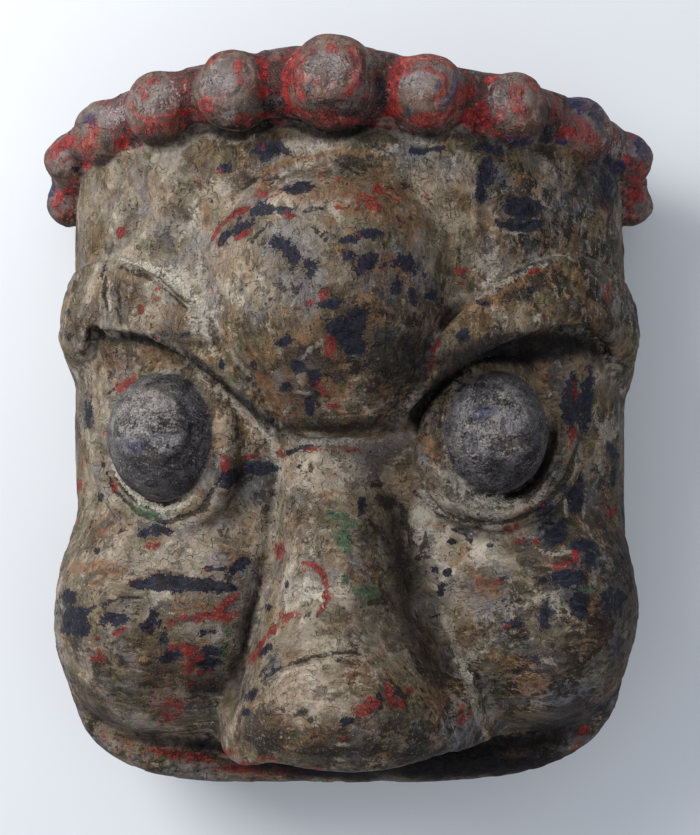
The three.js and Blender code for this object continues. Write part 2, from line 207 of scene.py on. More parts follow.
def nose_raw(P):
    y = P[:, 1]
    end = NOSE["y0"] - 6.0 * np.exp(-((P[:, 0] + 54) / 15) ** 2) - 2.0 * np.exp(-((P[:, 0] - 58) / 13) ** 2)      # the corners reach lower
    d = smax(smax(ridge(P, NOSE), y - NOSE["y1"], 6), end - y, 6)
    d = smin(d, ellipsoid(P, *NOSE_TIP), 13)
    for w in NOSE_WINGS:
        d = smin(d, ellipsoid(P, *w), 7)
    return d


def boss(P):
    return culled(boss_raw, P, (-90, -40, 55), (75, 145, 190))


def nose(P):
    return culled(nose_raw, P, (-85, -180, 50), (90, 15, 210))


def lid(P, c, r, tube, n):
    q = (P - np.array(c)) @ axes_of(n).T
    e = np.sqrt((q[:, 0] / r[0]) ** 2 + (q[:, 1] / r[1]) ** 2) + 1e-6
    rho = np.hypot(q[:, 0], q[:, 1])
    fade = 1 - 0.55 * np.clip(q[:, 1] / r[1] * 0.8 + 0.2, 0, 1)
    return np.hypot(rho - rho / e, q[:, 2]) - tube * fade


def ledge(P):
    x, y = P[:, 0] - LEDGE["x0"], P[:, 1] - LEDGE["y0"]
    side = np.tanh(x / 45)                                                                 # squarer on the left
    n, b = LEDGE["n"] + LEDGE["dn"] * side, LEDGE["b"] + LEDGE["db"] * side
    tuck = LEDGE["tuck"] * np.clip(1 - P[:, 2] / 50, 0, 1)                                    # leans in towards the rim
    e = ((np.abs(x) / (LEDGE["a"] - tuck)) ** n + (np.abs(y) / (b - tuck)) ** n) ** (1 / n) + 1e-6
    d = np.hypot(x, y) * (1 - 1 / e)
    return smax(smax(d, P[:, 2] - LEDGE["z"], 10), y, 10)


def lip_spine():
    out = []
    for t in np.radians(np.linspace(LIP["lo"], LIP["hi"], LIP["n"])):
        c, s = math.cos(t), math.sin(t)
        side = math.tanh(c * 2.6)
        k, b = 2 / (LEDGE["n"] + LEDGE["dn"] * side), LEDGE["b"] + LEDGE["db"] * side
        r = LIP["r"] - LIP["taper"] * abs(c)
        out.append([LEDGE["x0"] + math.copysign(abs(c) ** k, c) * (LEDGE["a"] - r), LEDGE["y0"] - s ** k * (b - r), LIP["z"] - LIP["fall"] * abs(c) ** 3, r])
    return np.array(out)


LIP_SPINE = lip_spine()
BROW_SPINES = [spline(b, 43) for b in BROWS]
BAND_SPINE = spline(np.column_stack([KNOBS[:, 0], KNOBS[:, 1] + 1.5, KNOBS[:, 2] - 8.5, KNOBS[:, 3] * 0.80]), 41)


def knobs(P):
    out = np.full(len(P), 50.0)
    for x, y, z, r, nx, ny, nz in KNOBS:
        c = np.array([x, y, z])
        m = np.nonzero((np.abs(P - c) < r + 12).all(1))[0]
        if not len(m):
            continue
        n = np.array([nx, ny, nz])
        n /= np.linalg.norm(n)
        q = P[m] - c
        ax = q @ n
        rad = np.sqrt(np.maximum((q * q).sum(1) - ax * ax, 0))
        d = np.sqrt((q * q).sum(1)) - r
        d = smax(d, ax - 0.86 * r, 3.5)                                              # worn, flattened front
        d = smax(d, 0.9 - np.hypot((rad - 0.60 * r) / 1.4, (ax - 0.80 * r) / 1.6), 0.9)   # shallow ring about it
        out[m] = np.minimum(out[m], d)
    return out


def across(P, C):
    """In plan: distance to a spine, signed side (positive towards the eye), half-width there, share of its length."""
    best, side, half, at = np.full(len(P), 90.0), np.zeros(len(P)), np.ones(len(P)), np.zeros(len(P))
    turn = np.sign(C[-1, 0] - C[0, 0])
    for k in range(len(C) - 1):
        a, b = C[k], C[k + 1]
        ab = b[:2] - a[:2]
        pa = P[:, :2] - a[:2]
        t = np.clip(pa @ ab / (ab @ ab), 0, 1)
        q = pa - t[:, None] * ab
        r = np.hypot(q[:, 0], q[:, 1])
        m = r < best
        best = np.where(m, r, best)
        side = np.where(m, -turn * np.sign(ab[0] * pa[:, 1] - ab[1] * pa[:, 0]) * r, side)
        half = np.where(m, a[3] + t * (b[3] - a[3]), half)
        at = np.where(m, (k + t) / (len(C) - 1), at)
    return best, side, half, at


def brow(P, face, k):
    """A ribbon lying on the face, its lower edge lifted and undercut; and the hollow of the socket below it."""
    out, dip = np.full(len(P), 50.0), np.zeros(len(P))
    C = BROW_SPINES[k]
    lo, hi = C[:, :3].min(0) - (34, 44, 45), C[:, :3].max(0) + (34, 34, 40)
    m = np.nonzero(((P > lo) & (P < hi)).all(1))[0]
    if not len(m):
        return out, dip
    Q, f = P[m], face[m]
    r, s, half, at = across(Q, C)
    top = BROW_OUT[k] * sstep(1.06, 0.88, at) + 2.5 + BROW_TILT[k] * np.clip(s / half, -1, 1) * sstep(0.0, 0.25, at)
    under = 0.42 * np.clip(top - f, 0, 12) * sstep(-2.0, 6.0, s)
    d = smax(r - half + under, f - top, 3.0)
    R = C.copy()
    R[:, 3] = R[:, 3] * 1.35 + 4
    out[m] = smax(d, chain(Q, R), 4.0)
    dip[m] = SOCKET[k] * np.exp(-((s - half - 4) / 7.5) ** 2) * sstep(0.25, 0.45, at) * sstep(1.03, 0.90, at) * sstep(94.0, 70.0, np.abs(Q[:, 0]))
    return out, dip


def forms(P):
    """Distance to each of the main forms."""
    face = head_form(P)
    for c in CHEEKS:
        face = smin(face, ellipsoid(P, *c), 16)
    (left, dip), (right, dip2) = brow(P, face, 0), brow(P, face, 1)
    d = {"face": face + dip + dip2, "brow": np.minimum(left, right)}
    d["boss"], d["nose"], d["ledge"] = boss(P), nose(P), culled(ledge, P, (-145, -190, -20), (145, -85, 90))
    d["lid"] = culled(lambda q: np.minimum(lid(q, *LIDS[0]), lid(q, *LIDS[1])), P, (-135, -70, 60), (130, 50, 160))
    d["eye"] = culled(lambda q: np.minimum(ellipsoid(q, *EYES[0]), ellipsoid(q, *EYES[1])), P, (-135, -60, 60), (115, 45, 165))
    d["soft"] = 2.5 + 13.0 * sstep(90.0, 110.0, np.abs(P[:, 0])) * sstep(48.0, 38.0, P[:, 1])                               # the folded outer ends run into the face
    d["fill"] = np.minimum(ellipsoid(P, (-60.0, 39.0, 118.0), (13.0, 17.0, 11.0)), ellipsoid(P, (-106.0, 32.0, 93.5), (8.0, 8.0, 8.0)))                         # where brow, forehead and boss meet
    d["lip"] = chain(P, LIP_SPINE)
    d["band"], d["knob"] = chain(P, BAND_SPINE), knobs(P)
    return d


def outside(d):
    f = smin(d["face"], d["lid"], 3.5)
    f = smin(f, d["eye"], 2)
    f = smin(f, d["boss"], 5.5)
    f = smin(f, d["nose"], 4)
    f = smin(f, d["brow"], d["soft"])
    f = smin(f, d["fill"], 6)
    f = smin(f, smin(d["lip"], d["ledge"], 4), 7)
    return smin(f, smin(d["band"], d["knob"], 2.5), 2.5)


def hollow(d, P):
    f = smin(d["face"], d["ledge"], 14) + WALL
    f = smin(f, smax(d["nose"] + NOSE_WALL, 60 - P[:, 2], 8), 10)
    return smin(f, smax(d["boss"] + NOSE_WALL, 60 - P[:, 2], 8), 10)


def solid(P):
    d = forms(P)
    f = smax(outside(d), -P[:, 2], 2.0)
    return smax(f, -hollow(d, P), 2.0)


def field(lo, cells, h, C):
    """solid() on a grid of points, worked out in full only near the surface."""
    N = np.array(cells)
    idx = np.stack(np.meshgrid(*[np.arange(n) for n in N], indexing="ij"), -1).reshape(-1, 3)
    mid = lo + (idx * C + (C - 1) / 2) * h
    coarse = solid(mid)
    G = np.repeat(np.repeat(np.repeat(coarse.reshape(N), C, 0), C, 1), C, 2).astype(np.float32)
    act = idx[np.abs(coarse) < C * h * 0.87 + 4.0]
    off = np.stack(np.meshgrid(*[np.arange(C)] * 3, indexing="ij"), -1).reshape(-1, 3)
    for s in range(0, len(act), 3000):
        ijk = (act[s:s + 3000, None] * C + off).reshape(-1, 3)
        G[ijk[:, 0], ijk[:, 1], ijk[:, 2]] = solid(lo + ijk * h)
    return G


def surface_nets(G, lo, h):
    """Vertices and quads of the zero surface of a grid field."""
    s = G < 0
    n = np.array(G.shape)
    cs = sum(s[a:n[0] - 1 + a, b:n[1] - 1 + b, c:n[2] - 1 + c].astype(np.int8) for a in (0, 1) for b in (0, 1) for c in (0, 1))
    cell = np.argwhere((cs > 0) & (cs < 8))
    num = -np.ones(n - 1, np.int64)
    num[tuple(cell.T)] = np.arange(len(cell))
    acc, cnt = np.zeros((len(cell), 3)), np.zeros(len(cell))
    for ax in range(3):
        o1, o2 = [k for k in range(3) if k != ax]
        for a in (0, 1):
            for b in (0, 1):
                p = cell.copy()
                p[:, o1] += a
                p[:, o2] += b
                q = p.copy()
                q[:, ax] += 1
                f, g = G[tuple(p.T)].astype(float), G[tuple(q.T)].astype(float)
                m = (f < 0) != (g < 0)
                t = f[m] / (f[m] - g[m])
                x = p[m].astype(float)
                x[:, ax] += t
                acc[m] += x
                cnt[m] += 1
    V = lo + acc / cnt[:, None] * h
    quads = []
    for ax in range(3):
        o1, o2 = (ax + 1) % 3, (ax + 2) % 3
        sl0, sl1 = [slice(None)] * 3, [slice(None)] * 3
        sl0[ax], sl1[ax] = slice(0, n[ax] - 1), slice(1, n[ax])
        e = np.argwhere(s[tuple(sl0)] != s[tuple(sl1)])
        e = e[(e[:, o1] > 0) & (e[:, o2] > 0) & (e[:, o1] < n[o1] - 1) & (e[:, o2] < n[o2] - 1)]
        ins = s[tuple(e.T)]
        c = []
        for a, b in ((1, 1), (0, 1), (0, 0), (1, 0)):
            k = e.copy()
            k[:, o1] -= a
            k[:, o2] -= b
            c.append(num[tuple(k.T)])
        c = np.stack(c, 1)
        quads.append(np.where(ins[:, None], c, c[:, ::-1]))
    return V, np.vstack(quads)


# ---- noise in arrays ------------------------------------------------------------------------------------------------------
_rng = np.random.RandomState(11)
_perm = _rng.permutation(256)
_grad = _rng.normal(size=(256, 3))
_grad /= np.linalg.norm(_grad, axis=1, keepdims=True)


def gnoise(P, seed=0):
    i = np.floor(P).astype(np.int64)
    f = P - i
    w = f * f * f * (f * (f * 6 - 15) + 10)
    out = np.zeros(len(P))
    for a in (0, 1):
        wa = w[:, 0] if a else 1 - w[:, 0]
        ha = _perm[(i[:, 0] + a + 37 * seed) & 255]
        for b in (0, 1):
            wb = wa * (w[:, 1] if b else 1 - w[:, 1])
            hb = _perm[(ha + i[:, 1] + b) & 255]
            for c in (0, 1):
                g = _grad[_perm[(hb + i[:, 2] + c) & 255]]
                out += wb * (w[:, 2] if c else 1 - w[:, 2]) * ((f[:, 0] - a) * g[:, 0] + (f[:, 1] - b) * g[:, 1] + (f[:, 2] - c) * g[:, 2])
    return out * 1.6


def fbm(P, wl, octaves=3, gain=0.5, seed=0):
    Q, s, a, tot = P / wl, 0.0, 1.0, 0.0
    for k in range(octaves):
        s = s + a * gnoise(Q, seed + k)
        tot += a
        a *= gain
        Q = Q * 2.03 + 11.7
    return s / tot


def pixels(P):
    """Where a point shows in a 700 x 835 picture taken from the viewpoint."""
    s = EYE_F / (EYE_H - P[:, 2])
    return EYE_U + P[:, 0] * s, EYE_V - P[:, 1] * s


def to_line(u, v, pts):
    """Pixel distance to a broken line, and the share of its length at the nearest point."""
    pts = np.array(pts, float)
    L = np.concatenate([[0], np.cumsum(np.hypot(*np.diff(pts, axis=0).T))])
    best, at = np.full(len(u), 1e9), np.zeros(len(u))
    for k in range(len(pts) - 1):
        a, b = pts[k], pts[k + 1]
        ab = b - a
        t = np.clip(((u - a[0]) * ab[0] + (v - a[1]) * ab[1]) / (ab @ ab), 0, 1)
        d = np.hypot(u - a[0] - t * ab[0], v - a[1] - t * ab[1])
        m = d < best
        best = np.where(m, d, best)
        at = np.where(m, (L[k] + t * (L[k + 1] - L[k])) / L[-1], at)
    return best, at


def relief(P, N, d, u, v, front, inner):
    lump = 0.9 * fbm(P, 44, 2, seed=1) + 0.42 * fbm(P, 15, 3, seed=4) + 0.17 * fbm(P, 5.0, 3, seed=9)
    warp = P + 8 * np.stack([fbm(P, 20, 2, seed=20 + k) for k in range(3)], 1)
    t = fbm(warp, 30, 3, seed=31) * 4.2
    sheet = (np.floor(t) + sstep(0.44, 0.56, t - np.floor(t))) * 0.42
    pits = -0.45 * sstep(0.42, 0.75, fbm(P, 7, 3, seed=61))
    out = lump + sheet + pits
    calm = 1 - 0.5 * sstep(3.0, 0.0, np.minimum(d["knob"], d["eye"]))
    out = out * calm
    out = out + np.where(d["knob"] < 4, 1.3 * fbm(P, 15, 2, seed=201) + 0.5 * fbm(P, 6, 2, seed=204), 0)
    for depth, width, pts in GROOVES:
        lo_, hi_ = np.min(pts, 0) - 5 * width, np.max(pts, 0) + 5 * width
        m = np.nonzero(front & (u > lo_[0]) & (u < hi_[0]) & (v > lo_[1]) & (v < hi_[1]))[0]
        if not len(m):
            continue
        b, at = to_line(u[m] + 1.6 * gnoise(P[m] / 5.0, 81), v[m] + 1.6 * gnoise(P[m] / 5.0, 82), pts)
        fade = np.minimum(1, 6 * np.minimum(at, 1 - at) + 0.15)
        out[m] += depth * fade * np.exp(-(b / width) ** 2)
    # left eye: a worn disc with a crease round its right side; right eye: turned rings
    e = d["eye"] < 1.5
    r = np.hypot(u - 152, v - 428)
    out = out + np.where(e & (u < 330), 0.6 * sstep(42, 36, r) - 1.0 * np.exp(-((r - 40) / 3.0) ** 2) * sstep(-10, 25, u - 152), 0)
    r = np.hypot(u - 497, v - 432) + 1.5 * gnoise(P / 9.0, 3)
    out = out + np.where(e & (u > 330), -0.65 * np.exp(-((r - 31) / 2.6) ** 2) - 0.6 * np.exp(-((r - 41) / 2.6) ** 2) - 0.4 * np.exp(-((r - 20) / 2.6) ** 2), 0)
    rough = 1.4 * fbm(P, 26, 2, seed=51) + 0.8 * fbm(P, 9, 3, seed=54)
    return np.where(inner, rough, out)


# ---- old paint, and painted light and shade ---------------------------------------------------------------------------------
# Each colour is a field over the surface: flaky noise over a threshold, lowered in soft zones, and listed patches.
# zones and patches: u, v, half-length, half-width, angle (degrees, clockwise from +u), strength
THRESH = {"navy": 0.86, "red": 1.06, "green": 1.25, "ochre": 0.66, "pale": 0.88, "dark": 0.72, "blue": 0.52, "tan": 0.56, "olive": 0.42}
# lighter and darker areas of the ground: the paint's own tone, and painted light and shade, lighter in the hollow right
# of the nose, darker on the right side, under the right brow and the boss, and on the ledge under the nose
TONES = [(325, 478, 44, 36, 0, .62), (165, 508, 50, 12, 0, .22), (520, 540, 70, 40, 0, .16), (420, 240, 40, 40, 0, .12), (130, 650, 60, 40, 0, .10), (318, 560, 36, 60, 0, .22), (150, 560, 80, 30, 0, .10), (130, 215, 70, 55, 0, .12), (285, 250, 50, 40, 0, .12), (160, 500, 60, 24, 0, .12), (530, 500, 60, 40, 0, .12), (470, 540, 50, 40, 0, .16), (545, 300, 50, 30, 0, .10), (140, 205, 75, 65, 0, .10), (150, 545, 95, 30, 0, .14), (302, 690, 50, 28, 0, .30), (130, 300, 80, 34, 0, .10), (265, 262, 55, 44, 0, .10), (195, 295, 26, 50, -30, .22),
         (240, 420, 30, 30, 35, .16), (320, 520, 30, 60, 0, .06), (450, 510, 40, 30, 0, .20), (440, 600, 24, 60, -30, .10), (480, 275, 20, 30, 0, .20), (430, 190, 40, 24, 0, .10),
         (560, 200, 90, 60, 0, -.20), (390, 368, 48, 42, 0, -.34), (330, 415, 60, 30, 0, -.22), (565, 295, 80, 40, 0, -.14), (570, 600, 70, 100, 0, -.20), (150, 692, 90, 36, 0, -.22),
         (400, 570, 26, 95, -12, -.30), (400, 680, 50, 40, 0, -.10), (310, 748, 110, 16, 0, -.30), (515, 352, 85, 22, -8, -.40), (450, 372, 30, 16, -35, -.4), (480, 758, 110, 22, 0, -.8), (150, 752, 120, 18, 10, -.45), (560, 640, 90, 110, 0, -.18), (530, 180, 110, 50, 0, -.12), (395, 350, 60, 60, 0, -.15), (290, 380, 60, 40, 0, -.22), (540, 735, 60, 12, -15, -.4), (425, 530, 22, 60, -12, .35), (448, 610, 20, 70, -28, .25), (335, 440, 60, 7, 0, .4), (150, 545, 60, 20, 0, .12), (300, 600, 40, 90, 0, .14), (330, 480, 40, 20, 0, .14), (470, 560, 40, 30, 0, .12), (340, 200, 70, 30, 0, .05), (400, 215, 34, 26, 0, .12), (560, 700, 80, 40, 0, -.16)]
# painted shade: near-black darkening where shadow falls, on the ledge under the nose, under the brows, the boss and the
# crown band, along the nose's sides and in recesses
SHADE = [(430, 757, 70, 9, -2, 1.0), (500, 745, 50, 8, -12, .9), (470, 766, 90, 8, -3, .9), (548, 732, 40, 9, -26, .75), (300, 768, 60, 6, 2, .8), (350, 772, 60, 6, 0, .9), (400, 352, 48, 40, 0, .45), (414, 590, 18, 90, -14, .55),
         (520, 350, 90, 12, -6, .7), (448, 376, 26, 8, -38, .8), (622, 600, 14, 90, 0, .5), (330, 134, 150, 7, 0, .45), (590, 640, 40, 60, 0, .25), (570, 170, 60, 40, 0, .25), (200, 686, 60, 10, 0, .45), (300, 745, 60, 8, 0, .5),
         (560, 715, 50, 12, -20, .5), (300, 380, 40, 40, 0, .35), (345, 330, 30, 22, 35, .4), (340, 424, 60, 7, 0, .5), (245, 402, 34, 4, 42, .7), (150, 340, 60, 4, 4, .6), (205, 366, 22, 4, 36, .7), (180, 742, 50, 6, 6, .7), (100, 716, 30, 5, 30, .5), (243, 635, 7, 95, 12, .55), (266, 540, 5, 60, 6, .4), (300, 392, 22, 22, 0, .5), (120, 690, 40, 20, 10, .25)]
ZONES = {
    "navy": [(385, 268, 45, 34, 0, .45), (500, 205, 40, 34, 0, .35), (575, 510, 40, 50, 0, .42), (575, 590, 45, 40, 0, .40), (160, 640, 30, 26, 0, .40), (105, 618, 50, 16, 0, .40), (200, 168, 40, 18, 0, .25),
             (480, 150, 90, 16, 0, .35), (620, 560, 16, 70, 0, .40), (205, 650, 30, 24, 0, .35), (250, 222, 40, 22, -30, .4), (560, 300, 60, 34, 0, .15), (345, 325, 40, 34, 30, .35), (440, 575, 20, 30, 0, .3)],
    "red": [(240, 215, 40, 20, -35, .40), (205, 625, 45, 26, 0, .36), (365, 198, 34, 20, 0, .40), (330, 100, 280, 60, 0, .30), (200, 758, 90, 14, 8, .5), (190, 668, 22, 18, 0, .35), (465, 280, 14, 18, 0, .3),
            (290, 590, 50, 50, 0, .16), (610, 300, 24, 40, 0, .2), (555, 555, 40, 24, 0, .2)],
    "green": [(345, 540, 18, 45, 0, .5), (150, 508, 24, 12, 0, .4), (75, 545, 20, 30, 0, .35), (225, 645, 14, 24, 0, .3), (365, 592, 18, 10, 0, .3)],
    "ochre": [(400, 232, 60, 50, 0, .42), (385, 300, 60, 40, 0, .36), (295, 402, 60, 40, 0, .42), (265, 345, 40, 40, 0, .26), (395, 400, 40, 30, 0, .3), (330, 190, 80, 22, 0, .40), (410, 205, 40, 30, 0, .35), (395, 320, 40, 18, 0, .30), (285, 400, 30, 30, 0, .30), (90, 572, 34, 16, 0, .35), (485, 592, 30, 22, 0, .40), (525, 688, 34, 20, 0, .42), (400, 665, 40, 30, 0, .3),
              (530, 285, 60, 22, -15, .35), (250, 255, 26, 18, 0, .25), (115, 360, 30, 14, 0, .3), (300, 470, 26, 20, 0, .3), (420, 715, 40, 26, 0, .25), (575, 370, 24, 18, 0, .3)],
    "pale": [(185, 285, 30, 30, 20, .55), (465, 515, 44, 22, 15, .5), (450, 620, 16, 70, -28, .5), (240, 408, 34, 14, 36, .5), (480, 275, 20, 34, 0, .4), (225, 300, 20, 34, 0, .35), (130, 152, 24, 10, -35, .5), (300, 145, 40, 10, 0, .4),
             (500, 215, 34, 16, 20, .35), (550, 600, 30, 40, 0, .2), (600, 430, 14, 20, 0, .4), (420, 500, 16, 30, 0, .35), (330, 441, 60, 6, 0, .5), (115, 440, 10, 50, 0, .3), (300, 690, 40, 24, 0, .05)],
    # dark: dark paint, and painted shade under the right brow, under the nose and on the ledge beneath it
    "dark": [(515, 355, 90, 18, -8, .5), (395, 365, 46, 36, 0, .45), (305, 380, 50, 44, 0, .30), (490, 755, 110, 18, 0, .6), (200, 685, 40, 14, 0, .40), (300, 745, 90, 16, 0, .45), (400, 560, 22, 90, -12, .3), (570, 580, 50, 60, 0, .25),
             (130, 712, 50, 14, 20, .2), (550, 170, 60, 30, 0, .30), (340, 128, 120, 10, 0, .5), (340, 425, 60, 12, 0, .4), (600, 300, 24, 50, 0, .2)],
    # blue: grey-blue paint; on the boss's upper left it is also a painted sheen
    "blue": [(292, 250, 48, 36, 0, .60), (150, 300, 40, 20, 20, .40), (200, 165, 50, 22, 0, .35), (125, 612, 42, 18, 0, .45), (325, 668, 34, 14, 0, .4), (260, 470, 36, 16, 0, .3), (150, 525, 50, 14, 0, .2), (590, 685, 34, 34, 0, .4),
             (520, 720, 50, 16, 0, .4), (410, 270, 44, 34, 0, .3), (95, 690, 14, 30, 0, .3), (450, 730, 40, 14, 0, .3)],
    "tan": [(150, 555, 90, 30, 0, .40), (235, 255, 26, 22, 0, .45), (300, 690, 46, 28, 0, .60), (435, 190, 34, 24, 20, .45), (160, 215, 50, 40, 0, .25), (240, 430, 30, 20, 0, .3), (320, 620, 40, 40, 0, .35), (115, 732, 30, 14, 35, .5),
            (460, 545, 30, 24, 0, .3), (310, 480, 40, 18, 0, .25)],
    "olive": [(240, 350, 34, 24, 0, .5), (440, 275, 22, 44, 0, .5), (375, 560, 34, 60, 0, .5), (150, 695, 60, 26, 0, .45), (75, 545, 24, 50, 0, .45), (330, 225, 40, 20, 0, .3), (120, 200, 50, 40, 0, .25), (550, 290, 60, 30, 0, .3), (500, 660, 30, 18, 0, .4)],
}
